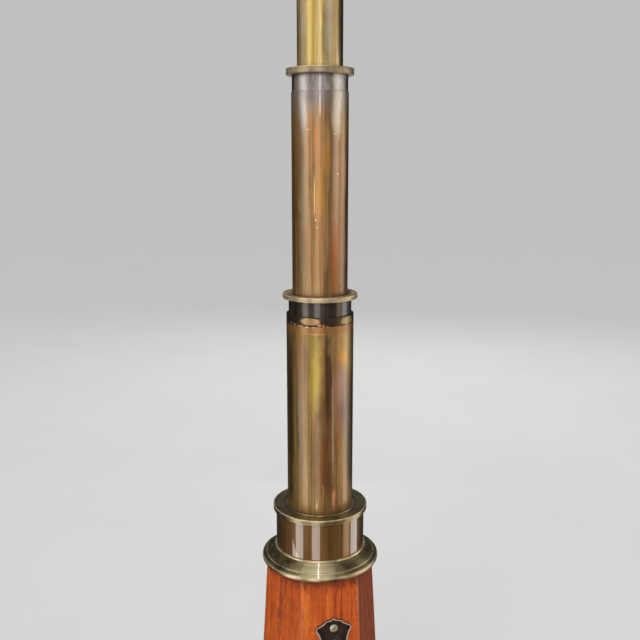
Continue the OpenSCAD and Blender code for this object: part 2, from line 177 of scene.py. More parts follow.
world = bpy.data.worlds.new("Studio")
bpy.context.scene.world = world
world.use_nodes = True
sky = world.node_tree
sky.nodes.clear()
path = add(sky, "ShaderNodeLightPath").outputs
rooms = [add(sky, "ShaderNodeBackground", {"Color": (*level, 1)}).outputs[0]
         for level in ((0.025, 0.025, 0.027), (0.08, 0.08, 0.081), (0.53, 0.53, 0.525))]
shown = rooms[0]
for room, test in zip(rooms[1:], ("Is Diffuse Ray", "Is Camera Ray")):
    shown = add(sky, "ShaderNodeMixShader", {0: path[test], 1: shown, 2: room}).outputs[0]
add(sky, "ShaderNodeOutputWorld", {"Surface": shown})
bpy.context.scene.view_settings.view_transform = "Standard"
print("world", world.name, len(sky.nodes), "nodes")

# %% [markdown]
# ## Small helpers for shader trees
# A material is a graph of nodes too. A few short helpers cover the commonest nodes: sums, products
# and other steps on numbers, and steps on vectors, which colours are as well.

# %% Helpers for numbers and vectors


def maths(tree, operation, a, b=0.0, clamp=False):
    return add(tree, "ShaderNodeMath", {0: a, 1: b}, operation=operation, use_clamp=clamp).outputs[0]


def plus(tree, a, b):
    return maths(tree, "ADD", a, b)


def minus(tree, a, b):
    return maths(tree, "SUBTRACT", a, b)


def times(tree, a, b):
    return maths(tree, "MULTIPLY", a, b)


def length(tree, a, b):
    """How far the point with these two coordinates lies from the origin."""
    return maths(tree, "POWER", plus(tree, times(tree, a, a), times(tree, b, b)), 0.5)


def vectors(tree, operation, a, b, result="Vector"):
    """A step on two vectors; the socket of one number counts as that number three times."""
    return add(tree, "ShaderNodeVectorMath", {0: a, 1: b}, operation=operation).outputs[result]


# %% [markdown]
# ## Groups
# What several materials share is made once as a group with named inputs and outputs, and is then
# used like a single node. So a group needs one helper to open it, one to give its results, and one
# to put it into another tree.

# %% Helpers for groups


def new_group(name, takes, gives):
    """An empty shader node group with named inputs and outputs, and its two end nodes."""
    tree = bpy.data.node_groups.new(name, "ShaderNodeTree")
    kinds = {"vector": "NodeSocketVector", "value": "NodeSocketFloat", "colour": "NodeSocketColor"}
    for way, sockets in (("INPUT", takes), ("OUTPUT", gives)):
        for label, kind in sockets:
            tree.interface.new_socket(name=label, in_out=way, socket_type=kinds[kind])
    return tree, tree.nodes.new("NodeGroupInput").outputs, tree.nodes.new("NodeGroupOutput").inputs


def give(tree, out, **results):
    """The results linked to the group's outputs of the same names."""
    for label, socket in results.items():
        tree.links.new(socket, out[label])
    print("group", tree.name, "gives", *results)


def use(tree, group, inputs):
    """A group placed in a tree; gives its outputs."""
    return add(tree, "ShaderNodeGroup", inputs, node_tree=group).outputs


POINT, SEED, MASK = ("Point", "vector"), ("Seed", "value"), [("Mask", "value")]
SURFACE = [("Color", "colour"), ("Roughness", "value"), ("Height", "value")]
METAL_TONES = [("Bright", "colour"), ("Middle", "colour"), ("Dark", "colour")]
print("every surface gives", *(label for label, _ in SURFACE))

# %% [markdown]
# ## Where a point lies round the axis
# Tarnish on the tubes lies at a certain place: a flame of copper at the front, a gold patch to the
# right. On a tube such a place is an angle and a height, so one group turns the point into an angle
# in degrees from the front, a height and a distance from the axis in millimetres. The angle jumps
# only at the far side, where no patch lies.

# %% Group: place on the tube
place_group, g, out = new_group("Place on the tube", [POINT],
                                [("Angle", "value"), ("Height", "value"), ("Radius", "value")])
t = place_group
sideways, forward, upward = (vectors(t, "DOT_PRODUCT", g["Point"], way, "Value")
                             for way in (RIGHT, FRONT, (0, 0, 1)))
angle = times(t, maths(t, "ARCTAN2", sideways, forward), math.degrees(1))
give(t, out, Angle=angle, Height=times(t, upward, 1 / MM),
     Radius=times(t, length(t, sideways, forward), 1 / MM))

# %% [markdown]
# ## A patch of tarnish
# Each patch is a soft oval on the unrolled surface whose edge is broken by noise. The same group
# makes the copper flames, the gold patches and the ragged black line, with other numbers.

# %% Group: tarnish patch


def smooth(tree, value, low, high, to_low=0.0, to_high=1.0):
    """The value eased from low..high to to_low..to_high."""
    return add(tree, "ShaderNodeMapRange", {"Value": value, "From Min": low, "From Max": high,
               "To Min": to_low, "To Max": to_high}, interpolation_type="SMOOTHSTEP").outputs[0]


def stretched(tree, point, across, along, seed=0.0):
    """The point scaled for a pattern that is fine across the tube and long down it."""
    scaled = vectors(tree, "MULTIPLY", point, (across, across, along))
    return vectors(tree, "ADD", scaled, (seed, seed * 1.7, seed * 0.6))


def noise(tree, point, scale, detail, rough=0.5, twist=0.0):
    """Noise from 0 to 1, by its scale, its detail, its roughness and its distortion."""
    return add(tree, "ShaderNodeTexNoise", {"Vector": point, "Scale": scale, "Detail": detail,
               "Roughness": rough, "Distortion": twist}).outputs["Fac"]


patch_group, g, out = new_group("Tarnish patch", [POINT, SEED, *(
    (label, "value") for label in ("Angle", "Height", "Half width", "Half height", "Softness",
                                   "Raggedness", "Grain"))], MASK)
t = patch_group
here = use(t, place_group, {"Point": g["Point"]})
turned_by = times(t, minus(t, here["Angle"], g["Angle"]), math.radians(1))
across = maths(t, "DIVIDE", times(t, turned_by, here["Radius"]), g["Half width"])
along = maths(t, "DIVIDE", minus(t, here["Height"], g["Height"]), g["Half height"])
seeded = vectors(t, "ADD", stretched(t, g["Point"], 1.0, 0.45), g["Seed"])
broken = minus(t, noise(t, seeded, g["Grain"], 5.0, 0.6), 0.5)
far = plus(t, length(t, across, along), times(t, broken, times(t, g["Raggedness"], 4.0)))
give(t, out, Mask=smooth(t, far, minus(t, 1.0, g["Softness"]), 1.0, 1.0, 0.0))

# %% [markdown]
# ## Laying patches over each other
# A patch blends one more colour over what lies below it. Colours are written as on a screen, from
# 0 to 255, and a shader takes them as linear light, so they are converted on the way.

# %% Patches in order


def rgb(r, g, b):
    """A screen colour from 0 to 255 as the linear colour that a shader takes."""
    return tuple((c / 255 / 12.92 if c <= 10 else ((c / 255 + 0.055) / 1.055) ** 2.4)
                 for c in (r, g, b)) + (1.0,)


def blend(tree, mask, a, b):
    """Colour a, with colour b over it where the mask is 1."""
    return add(tree, "ShaderNodeMix", {0: mask, 6: a, 7: b}, data_type="RGBA").outputs[2]


def patched(tree, point, colour, patches, seed=0.0, seed_step=0.0):
    """The colour with patches laid over each other in order. Each is (angle, height, half width,
    half height, softness, raggedness, grain, screen colour, strength)."""
    for k, (angle, high, wide, tall, soft, ragged, grain, tone, strength) in enumerate(patches):
        mask = use(tree, patch_group, {
            "Point": point, "Angle": angle, "Height": high, "Half width": wide, "Half height": tall,
            "Softness": soft, "Raggedness": ragged, "Grain": grain, "Seed": seed + seed_step * k})
        colour = blend(tree, times(tree, mask["Mask"], strength), colour, rgb(*tone))
    return colour


# %% [markdown]
# ## Drawn brass
# The tubes were drawn through a die and polished along their length, and later handled for years.
# Both leave fine lines down the tube, in colour and in gloss, over broad cloudy bands of tarnish.
# Noise that is stretched along the tube gives both, so it needs no drawing of single scratches.

# %% Group: drawn brass


def three_tones(tree, value, tones, first, second):
    """Three tones by a value, each change eased over its own low and high."""
    base = blend(tree, smooth(tree, value, *first), tones[0], tones[1])
    return blend(tree, smooth(tree, value, *second), base, tones[2])


drawn_group, g, out = new_group(
    "Drawn brass", [POINT, SEED, *METAL_TONES, ("Copper", "colour"), ("Olive", "colour")], SURFACE)
t = drawn_group
here = vectors(t, "ADD", g["Point"], g["Seed"])
bands = noise(t, stretched(t, here, 1.0, 0.07), 110.0, 4.0, 0.55, 0.3)
lines = noise(t, stretched(t, here, 1.0, 0.012), 1500.0, 3.0, 0.6)
clouds = noise(t, stretched(t, here, 1.0, 0.5, 3.1), 70.0, 4.0, 0.6, 0.6)
specks = noise(t, stretched(t, here, 1.0, 0.8, 7.7), 1400.0, 2.0, 0.5)
coppery = noise(t, stretched(t, here, 1.0, 0.05, 5.3), 300.0, 4.0, 0.6)
olive = noise(t, stretched(t, here, 1.0, 0.04, 9.1), 360.0, 4.0, 0.6)
lean = plus(t, times(t, bands, 0.65), times(t, clouds, 0.35))
base = three_tones(t, lean, (g["Dark"], g["Middle"], g["Bright"]), (0.36, 0.52), (0.50, 0.66))
for streaks, tone in ((coppery, "Copper"), (olive, "Olive")):
    base = blend(t, smooth(t, streaks, 0.50, 0.66, 0.0, 0.6), base, g[tone])
base = vectors(t, "MULTIPLY", base, smooth(t, lines, 0.36, 0.64, 0.73, 1.27))
give(t, out, Color=blend(t, smooth(t, specks, 0.66, 0.78), base, g["Dark"]),
     Roughness=plus(t, smooth(t, clouds, 0.3, 0.7, 0.34, 0.44),
                    smooth(t, lines, 0.3, 0.7, -0.06, 0.06)),
     Height=plus(t, times(t, lines, 0.6), times(t, bands, 2.0)))

# %% [markdown]
# ## Turned brass
# Rings, flanges and the eyepiece were turned, and the tool left fine rings round the axis. They
# depend only on the distance from the axis and the height, never on the angle, so the noise is fed
# with these two alone. Olive-brown tarnish clouds over it.

# %% Group: turned brass


def combine(tree, x=0.0, y=0.0, z=0.0):
    return add(tree, "ShaderNodeCombineXYZ", {0: x, 1: y, 2: z}).outputs[0]


turned_group, g, out = new_group("Turned brass", [POINT, SEED, *METAL_TONES], SURFACE)
t = turned_group
on_tube = use(t, place_group, {"Point": g["Point"]})
cut = combine(t, on_tube["Radius"], on_tube["Height"], g["Seed"])
tool = times(t, plus(t, noise(t, cut, 2.6, 4.0, 0.65), noise(t, cut, 0.8, 3.0, 0.6)), 0.5)
here = vectors(t, "ADD", g["Point"], g["Seed"])
clouds = noise(t, here, 120.0, 5.0, 0.62, 0.4)
grime = noise(t, here, 520.0, 3.0, 0.6)
base = three_tones(t, clouds, (g["Dark"], g["Middle"], g["Bright"]), (0.25, 0.55), (0.45, 0.75))
shade = times(t, smooth(t, tool, 0.38, 0.62, 0.78, 1.22), smooth(t, grime, 0.3, 0.7, 0.90, 1.08))
give(t, out, Color=vectors(t, "MULTIPLY", base, shade),
     Roughness=plus(t, smooth(t, clouds, 0.3, 0.7, 0.27, 0.42),
                    smooth(t, grime, 0.3, 0.7, -0.03, 0.07)),
     Height=plus(t, tool, times(t, grime, 0.25)))

# %% [markdown]
# ## Worn edges, and corners darkened by grime and painted shade
# Hands and cloths rub the lacquer and tarnish off edges, and grime stays in the corners. The
# darkening in corners also paints the shade that falls there and under overhangs. A Bevel node
# compares the rounded with the true normal, which finds the edges; on the wood's corners the bright
# wear is also a painted highlight. Ambient occlusion finds the corners. Noise breaks both up,
# because wear is never even.

# %% Groups: edge wear, and corner grime with painted shade
REACH_AMOUNT = [("Reach", "value"), ("Amount", "value")]
wear_group, g, out = new_group("Edge wear", [POINT, SEED, *REACH_AMOUNT], MASK)
t = wear_group
rounded = add(t, "ShaderNodeBevel", {"Radius": g["Reach"]}, samples=6).outputs[0]
true = add(t, "ShaderNodeNewGeometry").outputs["Normal"]
edge = smooth(t, minus(t, 1.0, vectors(t, "DOT_PRODUCT", rounded, true, "Value")), 0.02, 0.16)
here = vectors(t, "ADD", g["Point"], g["Seed"])
rubbed_and_highlit = smooth(t, noise(t, here, 260.0, 5.0, 0.65), 0.34, 0.60)
give(t, out, Mask=times(t, times(t, edge, rubbed_and_highlit), g["Amount"]))

# Ambient occlusion darkens the colour in corners and under overhangs: grime that gathers there, and
# painted shade.
corner_grime_and_shade_group, g, out = new_group("Corner grime and painted shade", [POINT, *REACH_AMOUNT], MASK)
t = corner_grime_and_shade_group
nook = add(t, "ShaderNodeAmbientOcclusion", {"Color": (1, 1, 1, 1), "Distance": g["Reach"]}, samples=6)
shut_in = smooth(t, nook.outputs["AO"], 0.25, 0.85, 1.0, 0.0)
clumps = smooth(t, noise(t, g["Point"], 700.0, 4.0, 0.6), 0.25, 0.65, 0.5, 1.0)
give(t, out, Mask=times(t, times(t, shut_in, clumps), g["Amount"]))


def aged(tree, point, colour, dirt_and_shade, grime, wear, worn, seed):
    """The colour darkened in its corners, as grime and as painted shade, and with its edges worn,
    and the masks of both. The corner darkening and the wear are pairs of an amount and a reach in
    metres."""
    corner = use(tree, corner_grime_and_shade_group, {"Point": point, "Amount": dirt_and_shade[0], "Reach": dirt_and_shade[1]})["Mask"]
    edge = use(tree, wear_group, {"Point": point, "Amount": wear[0], "Reach": wear[1],
                                  "Seed": seed})["Mask"]
    colour = blend(tree, corner, colour, rgb(*grime))
    return blend(tree, edge, colour, rgb(*worn)), corner, edge


# %% [markdown]
# ## One recipe for the metals
# Every metal here is the same sandwich: a coloured metal, a rubbed edge that shows brighter metal,
# grime in the corners together with painted shade, and what is left of a clear lacquer as the
# shader's coat. The recipe below joins them, and each metal only brings its own colours and patches.

# %% Metal recipe
# The corner tone and its reach darken corners, as grime and as painted shade.
RELIEF, GRIME_AND_SHADE_TONE, GRIME_AND_SHADE_REACH, SEED_STEP = 0.0002, (28, 22, 14), 0.004, 0.37
GRIME_DULLS, WEAR_POLISHES = 0.3, 0.08


def new_material(name):
    """A material with an empty tree; gives also the tree and the point in object coordinates."""
    material = bpy.data.materials.new(name)
    material.use_nodes = True
    tree = material.node_tree
    tree.nodes.clear()
    return material, tree, add(tree, "ShaderNodeTexCoord").outputs["Object"]


def close_material(tree, colour, rough, height, bump, metallic, coat, coat_rough, coat_ior):
    """The Principled shader of a metal or of varnished wood, with a bump from the height."""
    relief = add(tree, "ShaderNodeBump", {"Strength": bump, "Distance": RELIEF, "Height": height})
    sheet = add(tree, "ShaderNodeBsdfPrincipled", {"Base Color": colour, "Roughness": rough,
                "Metallic": metallic, "Normal": relief.outputs[0], "Coat Weight": coat,
                "Coat Roughness": coat_rough, "Coat IOR": coat_ior})
    add(tree, "ShaderNodeOutputMaterial", {"Surface": sheet.outputs[0]})
    return sheet


def metal(name, group, tones, seed, worn, wear=0.7, reach=0.0006, dirt_and_shade=0.7, bump=0.35,
          metallic=0.7, coat=0.3, coat_rough=0.12, coat_ior=1.6, rough_shift=0.0, patches=()):
    """A metal from its bright, middle and dark tone, for drawn brass also copper and olive, and the
    colour of its worn edges."""
    material, tree, point = new_material(name)
    labels = ("Bright", "Middle", "Dark", "Copper", "Olive")
    made = use(tree, group, {"Point": point, "Seed": seed,
                             **{label: rgb(*tone) for label, tone in zip(labels, tones)}})
    colour = patched(tree, point, made["Color"], patches, seed, SEED_STEP)
    colour, corner, edge = aged(tree, point, colour, (dirt_and_shade, GRIME_AND_SHADE_REACH), GRIME_AND_SHADE_TONE, (wear, reach), worn,
                                seed)
    rough = plus(tree, made["Roughness"], times(tree, corner, GRIME_DULLS))
    rough = minus(tree, rough, times(tree, edge, WEAR_POLISHES))
    rough = maths(tree, "ADD", rough, rough_shift, clamp=True)
    close_material(tree, colour, rough, made["Height"], bump, metallic, coat, coat_rough, coat_ior)
    return material


# %% [markdown]
# ## The wide draw
# The wide draw is brown with olive streaks, has a yellow streak left of the front and a gold patch
# on its right, and a ragged black line with bare copper below its neck. Here and on the other tubes
# heights are in millimetres above the mouth, and angles in degrees from the front.

# %% Material of the wide draw
EVERYWHERE = 90.0  # half a width in millimetres that reaches all round a tube
CHIPS = ((-57, 350.3, 0.7, 0.5, (244, 226, 214)), (-47, 349.9, 0.8, 0.5, (240, 214, 196)),
         (-38, 349.5, 1.0, 0.5, (224, 150, 104)), (-33, 349.3, 0.7, 0.5, (244, 216, 196)),
         (-22, 349.0, 0.9, 0.45, (240, 206, 180)), (-12, 349.0, 0.6, 0.4, (232, 190, 158)),
         (-1, 350.3, 1.3, 0.7, (214, 128, 82)), (6, 350.0, 0.9, 0.8, (208, 122, 78)),
         (12, 349.6, 0.9, 0.5, (204, 132, 92)), (50, 349.8, 0.8, 0.4, (190, 150, 96)))
outer_draw = metal(
    "Tarnished outer draw with painted light", drawn_group,
    [(178, 148, 96), (148, 113, 66), (104, 72, 38), (168, 110, 58), (146, 126, 70)], 1.3,
    (206, 170, 106), wear=0.4, metallic=0.55, coat=0.3, patches=[
        # A painted highlight: the grey stripe left of the front.
        (-36, 298, 3.0, 54, 0.9, 0.20, 120, (176, 158, 130), 0.65),
        (-7, 325, 6.0, 32, 0.9, 0.30, 120, (196, 166, 66), 0.8),
        # Olive tarnish with painted shade: the dark sides.
        (-62, 290, 4.5, 80, 0.7, 0.25, 120, (70, 56, 24), 0.85),
        (74, 290, 4.0, 80, 0.7, 0.25, 120, (64, 50, 32), 0.8),
        (14, 317, 3.2, 36, 0.7, 0.35, 160, (94, 58, 36), 0.9),
        # Pinkish grey on the right is a painted highlight, and the darker brown beside it painted
        # shade.
        (45, 302, 7.0, 26, 0.9, 0.30, 120, (124, 98, 90), 0.85),
        (58, 280, 4.2, 44, 0.9, 0.30, 120, (84, 68, 50), 0.75),
        (38, 316, 4.8, 17, 0.9, 0.30, 120, (164, 136, 128), 0.85),
        (46, 335, 6.4, 15, 0.7, 0.35, 160, (176, 144, 74), 0.85),
        (43, 331, 3.4, 7.5, 1.0, 0.40, 260, (226, 156, 50), 0.8),
        (11, 264, 6.4, 34, 0.8, 0.40, 150, (124, 76, 34), 0.85),
        # Painted highlights: the three small bright marks near the rim.
        (24, 249, 1.6, 8.0, 0.9, 0.40, 260, (220, 152, 102), 0.8),
        (-6, 246, 0.8, 5.0, 0.9, 0.40, 300, (236, 200, 160), 0.8),
        (6, 252, 0.7, 9.0, 0.9, 0.40, 300, (216, 166, 118), 0.7),
        (0, 347.4, EVERYWHERE, 2.7, 0.4, 0.15, 300, (164, 116, 62), 0.8),
        (-8, 345.2, 9.0, 0.5, 0.5, 0.20, 500, (212, 142, 84), 0.9),
        (0, 352.9, EVERYWHERE, 3.5, 0.25, 0.12, 500, (58, 45, 34), 0.96),
        (-17, 352.2, 6.4, 2.2, 0.25, 0.10, 500, (176, 136, 84), 1.0),
        (54, 351.6, 6.2, 2.6, 0.3, 0.30, 500, (166, 140, 86), 0.95),
        (0, 349.7, EVERYWHERE, 0.55, 0.5, 0.20, 700, (22, 15, 10), 0.92)]
    + [(*place[:4], 0.4, 0.25, 900, place[4], 0.95) for place in CHIPS])
print(outer_draw.name, len(outer_draw.node_tree.nodes), "nodes")

# %% [markdown]
# ## The middle draw
# The middle draw is copper, blue-grey near its neck, with flames of orange tarnish.

# %% Material of the middle draw
middle_draw = metal(
    "Tarnished middle draw with painted light", drawn_group,
    [(190, 154, 108), (166, 125, 80), (120, 86, 50), (176, 112, 62), (160, 140, 90)], 2.6,
    (220, 184, 136), wear=0.4, metallic=0.55, coat=0.2, patches=[
        # Painted highlights: the light stripes left and right of the front; the dark olive sides are
        # olive tarnish with painted shade.
        (-36, 415, 4.4, 70, 0.9, 0.25, 120, (168, 148, 112), 0.75),
        (-66, 415, 3.2, 70, 0.7, 0.25, 120, (120, 90, 34), 0.85),
        (70, 415, 3.6, 70, 0.7, 0.25, 120, (70, 50, 24), 0.85),
        (33, 430, 2.6, 60, 0.9, 0.25, 120, (204, 174, 150), 0.8),
        (2, 414, 4.6, 44, 0.9, 0.40, 110, (182, 124, 68), 0.5),
        (30, 392, 5.5, 26, 0.9, 0.40, 120, (178, 106, 54), 0.6),
        # Near the neck, the pale stripes at both sides and the thin bright line at the front are
        # painted highlights, and the darker patch left of the front is painted shade.
        (-36, 462, 4.2, 22, 0.9, 0.20, 160, (184, 170, 152), 0.85),
        (34, 460, 3.2, 20, 0.8, 0.20, 160, (210, 198, 164), 0.8),
        (-9, 450, 3.8, 15, 0.8, 0.45, 220, (194, 132, 80), 0.8),
        (0, 474.5, EVERYWHERE, 17, 1.0, 0.30, 150, (150, 141, 136), 0.92),
        (-37, 468, 3.4, 19, 0.9, 0.35, 180, (228, 218, 206), 0.85),
        (-17, 472, 3.4, 10, 0.9, 0.35, 180, (118, 106, 104), 0.7),
        (37, 467, 4.4, 21, 0.9, 0.35, 180, (242, 236, 222), 0.85),
        (12, 440, 3.2, 17, 0.8, 0.45, 200, (202, 144, 64), 0.85),
        (1, 421, 3.4, 17, 0.8, 0.45, 200, (198, 140, 66), 0.8),
        (0, 468, 0.22, 9, 0.4, 0.10, 300, (250, 244, 234), 0.85),
        (-11, 421, 0.45, 15, 0.7, 0.30, 300, (236, 198, 128), 0.8),
        (-9, 407, 0.4, 0.5, 0.5, 0.50, 900, (250, 236, 210), 0.9),
        (-6, 403, 0.3, 0.4, 0.5, 0.50, 900, (250, 236, 210), 0.9),
        (32, 452, 0.9, 0.5, 0.5, 0.60, 900, (250, 236, 206), 0.8),
        (38, 431, 0.9, 0.8, 0.5, 0.80, 900, (246, 226, 190), 0.8),
        (-24, 454, 1.0, 0.3, 0.5, 0.60, 900, (246, 216, 180), 0.8)])
print(middle_draw.name, len(middle_draw.node_tree.nodes), "nodes")

# %% [markdown]
# ## The narrow draw
# The narrow draw is handled most and is still yellow.

# %% Material of the narrow draw
inner_draw = metal(
    "Yellow inner draw with painted light", drawn_group,
    [(226, 200, 140), (212, 182, 114), (176, 146, 82), (214, 176, 120), (206, 182, 96)], 4.1,
    (232, 210, 158), wear=0.4, metallic=0.6, coat=0.35, patches=[
        # The near-white stripes left and right of the front are painted highlights, and the dark
        # stripes at the sides painted shade.
        (-48, 520, 2.6, 90, 0.9, 0.15, 160, (240, 212, 186), 0.85),
        (-18, 520, 2.4, 90, 0.9, 0.15, 160, (200, 168, 66), 0.85),
        (25, 520, 3.4, 90, 0.9, 0.15, 160, (255, 238, 206), 0.9),
        (60, 520, 3.2, 90, 0.7, 0.15, 160, (84, 70, 38), 0.9),
        (72, 520, 3.0, 90, 0.8, 0.15, 160, (60, 50, 28), 0.9),
        (-78, 520, 2.4, 90, 0.8, 0.15, 160, (92, 78, 40), 0.7),
        (0, 591, EVERYWHERE, 12, 0.9, 0.20, 200, (150, 122, 78), 0.6)])
print(inner_draw.name, len(inner_draw.node_tree.nodes), "nodes")

# %% [markdown]
# ## Turned, lacquered and blackened brass
# The flanges and the collar's rim are turned brass gone olive, and the draw rings and the eyepiece
# are paler. The band between flange and rim kept its brown lacquer, so it mirrors the strips of light
# with sharp edges. The first ring's neck is smoked and the second one's silvery, with painted
# highlights and painted shade on it. Rubbed edges are bright, which also paints the highlight of a
# rounded edge, and the screws' near-white brass is partly a painted highlight. Pieces inside were
# blackened against stray light, and the plate is dark bronze, rubbed pinkish along its rim.

# %% Materials of the other metals
olive_brass = metal("Olive turned brass", turned_group,
                    [(160, 146, 108), (142, 129, 92), (114, 102, 70)], 5.2, (222, 204, 162),
                    wear=0.85, reach=0.0007, bump=0.3, metallic=0.9, coat=0.6, coat_rough=0.07)
ring_brass = metal("Pale turned brass", turned_group,
                   [(204, 182, 146), (184, 162, 128), (142, 122, 92)], 6.7, (232, 214, 178),
                   wear=0.8, reach=0.0005, bump=0.3, metallic=0.45, coat=0.25, coat_rough=0.2,
                   rough_shift=0.08)
smoked_neck = metal("Smoked neck", drawn_group,
                    [(88, 76, 64), (64, 54, 44), (36, 30, 24), (84, 60, 44), (58, 54, 40)], 7.1,
                    (120, 108, 92), wear=0.3, bump=0.25, metallic=0.6, coat=0.6, coat_rough=0.14,
                    coat_ior=1.7)
silvery_neck_with_painted_light = metal(
    "Silvery neck with painted highlights and shade", drawn_group,
    [(186, 178, 170), (158, 149, 141), (120, 110, 102), (160, 140, 128), (170, 164, 146)], 7.9,
    (206, 200, 190), wear=0.3, bump=0.25, metallic=0.5, coat=0.35, coat_rough=0.3,
    rough_shift=0.08, patches=[
        # The light and dark patches round the neck and its thin bright line are painted highlights and
        # painted shade.
        (-37, 478, 4.0, 14, 0.9, 0.3, 200, (234, 228, 218), 0.9),
        (-15, 477, 4.2, 9, 0.9, 0.4, 200, (104, 93, 92), 0.8),
        (18, 480, 3.4, 4, 0.9, 0.5, 240, (120, 114, 112), 0.7),
        (39, 478, 5.0, 14, 0.9, 0.3, 200, (246, 244, 238), 0.9),
        (-84, 478, 6.4, 12, 0.6, 0.1, 160, (34, 34, 30), 0.95),
        (80, 478, 5.2, 12, 0.6, 0.1, 160, (44, 40, 36), 0.95),
        (0, 478, 0.25, 12, 0.4, 0.1, 300, (250, 246, 238), 0.9)])
brown_lacquer = metal("Brown lacquered brass", drawn_group,
                      [(134, 96, 44), (122, 84, 38), (104, 70, 32), (124, 78, 34), (118, 90, 40)],
                      8.3, (196, 148, 92), wear=0.4, reach=0.0004, bump=0.02, metallic=0.5,
                      coat=1.0, coat_rough=0.03, coat_ior=1.9)
# Rubbed edges are bright pale brass: worn metal, and a painted highlight along each rounded edge.
rubbed_edge_and_highlight = metal("Rubbed edge and painted highlight", turned_group,
                    [(232, 212, 168), (206, 184, 138), (150, 130, 92)], 3.3, (250, 240, 214),
                    wear=0.2, dirt_and_shade=0.3, bump=0.2, metallic=0.5)
# The screw brass is nearly white, partly a painted highlight, and its strong corner darkening paints
# the shade in the slot.
screw_brass_and_highlight = metal("Bright screw brass with painted highlight", turned_group,
                    [(232, 226, 204), (208, 200, 176), (160, 150, 124)], 9.4, (240, 234, 212),
                    wear=0.7, reach=0.0003, dirt_and_shade=1.0, bump=0.3, metallic=0.5)
black_brass = metal("Blackened brass", turned_group, [(44, 40, 36), (28, 26, 24), (18, 17, 16)], 10.1,
                    (120, 98, 60), wear=0.6, reach=0.0004, bump=0.4, coat=0.0, rough_shift=0.22)
plate_bronze = metal("Dark rubbed bronze", turned_group,
                     [(84, 66, 54), (62, 48, 40), (42, 32, 27)], 11.9, (188, 150, 128), wear=1.0,
                     reach=0.0006, bump=0.6, metallic=0.6, coat=0.3, coat_rough=0.25,
                     rough_shift=0.08)
plate_edge = metal("Rubbed bronze edge", turned_group,
                   [(255, 226, 208), (236, 196, 174), (170, 130, 108)], 12.6, (255, 226, 208),
                   wear=0.3, dirt_and_shade=0.2, bump=0.4, metallic=0.25)
print("metals", [m.name for m in bpy.data.materials])

# %% [markdown]
# ## Varnished wood
# The barrel is a dense red hardwood, cut along the grain and thickly varnished. The grain runs with
# the barrel as long stretched noise: bands from orange to brown for the years, fine fibres over them
# and darker pores as short dashes. The varnish is the shader's coat, clear and a little uneven, so it
# takes its own faint ripple.

# %% Material of the barrel
grain_group, g, out = new_group(
    "Straight grain", [POINT, ("Light", "colour"), ("Red", "colour"), ("Dark", "colour")], SURFACE)
t = grain_group
warp = noise(t, stretched(t, g["Point"], 1.0, 0.3), 30.0, 2.0)
bent = vectors(t, "ADD", g["Point"], combine(t, times(t, warp, 0.012), times(t, warp, 0.008)))
years = noise(t, stretched(t, bent, 1.0, 0.035), 330.0, 5.0, 0.65)
fibres = noise(t, stretched(t, bent, 1.0, 0.018, 2.0), 1300.0, 4.0, 0.65)
pores = noise(t, stretched(t, bent, 1.0, 0.05, 5.0), 2200.0, 2.0)
ripple = noise(t, stretched(t, g["Point"], 0.4, 1.6, 9.0), 160.0, 3.0)
base = three_tones(t, years, (g["Dark"], g["Red"], g["Light"]), (0.28, 0.46), (0.48, 0.68))
shade = times(t, smooth(t, fibres, 0.34, 0.66, 0.76, 1.2), smooth(t, ripple, 0.3, 0.7, 0.92, 1.08))
base = vectors(t, "MULTIPLY", base, shade)
give(t, out, Color=blend(t, times(t, smooth(t, pores, 0.58, 0.70), 0.55), base, g["Dark"]),
     Roughness=smooth(t, fibres, 0.3, 0.7, 0.40, 0.55), Height=minus(t, fibres, pores))

# Lighter and darker streaks are marks in the wood; the dark band all round just under the flange is a
# painted shadow.
WOOD_MARKS_AND_FLANGE_SHADOW = ((-14, 186, 2.6, 26, (246, 138, 48), 0.6), (-22, 150, 2.0, 34, (246, 134, 44), 0.5),
              (9, 182, 1.0, 22, (244, 134, 48), 0.5), (3, 176, 0.8, 30, (166, 62, 24), 0.55),
              (18, 188, 1.4, 24, (172, 58, 24), 0.5),
              (0, 206.5, EVERYWHERE, 11, (104, 32, 14), 0.8),
              (-53, 185, 2.6, 24, (104, 38, 40), 0.55), (-46, 196, 0.8, 9, (112, 44, 34), 0.6),
              (50, 184, 0.9, 16, (108, 42, 22), 0.7), (64, 170, 1.4, 26, (110, 44, 22), 0.6))
wood_material, tree, point = new_material("Varnished red hardwood")
made = use(tree, grain_group, {"Point": point, "Light": rgb(232, 118, 38),
                               "Red": rgb(212, 94, 30), "Dark": rgb(166, 60, 22)})
colour = patched(tree, point, made["Color"],
                 [(*mark[:4], 0.8, 0.45, 420.0, *mark[4:]) for mark in WOOD_MARKS_AND_FLANGE_SHADOW])
# The corner darkening reaches far here and paints the shadow under the flange, and the bright orange
# wear on the corners between the faces is worn varnish and a painted highlight.
colour, _, _ = aged(tree, point, colour, dirt_and_shade=(0.9, 0.014), grime=(48, 18, 10), wear=(0.5, 0.0012),
                    worn=(240, 130, 42), seed=0.4)
varnish = close_material(tree, colour, made["Roughness"], made["Height"], bump=0.12, metallic=0.0,
                         coat=0.15, coat_rough=0.2, coat_ior=1.5)
ripples = noise(tree, stretched(tree, point, 1.0, 0.25), 240.0, 2.0)
uneven = add(tree, "ShaderNodeBump", {"Strength": 0.05, "Distance": 0.0004, "Height": ripples})
tree.links.new(uneven.outputs[0], varnish.inputs["Coat Normal"])
print("wood", wood_material.name)

# %% [markdown]
# ## Glass and floor
# The lenses are crown and flint glass: clear, smooth, with the refraction as a plain number. Faint
# smears stay on them as a change of roughness. The floor is plain pale matt board that glows a
# little. Reflections and soft light don't see it, so it throws no light on the brass.

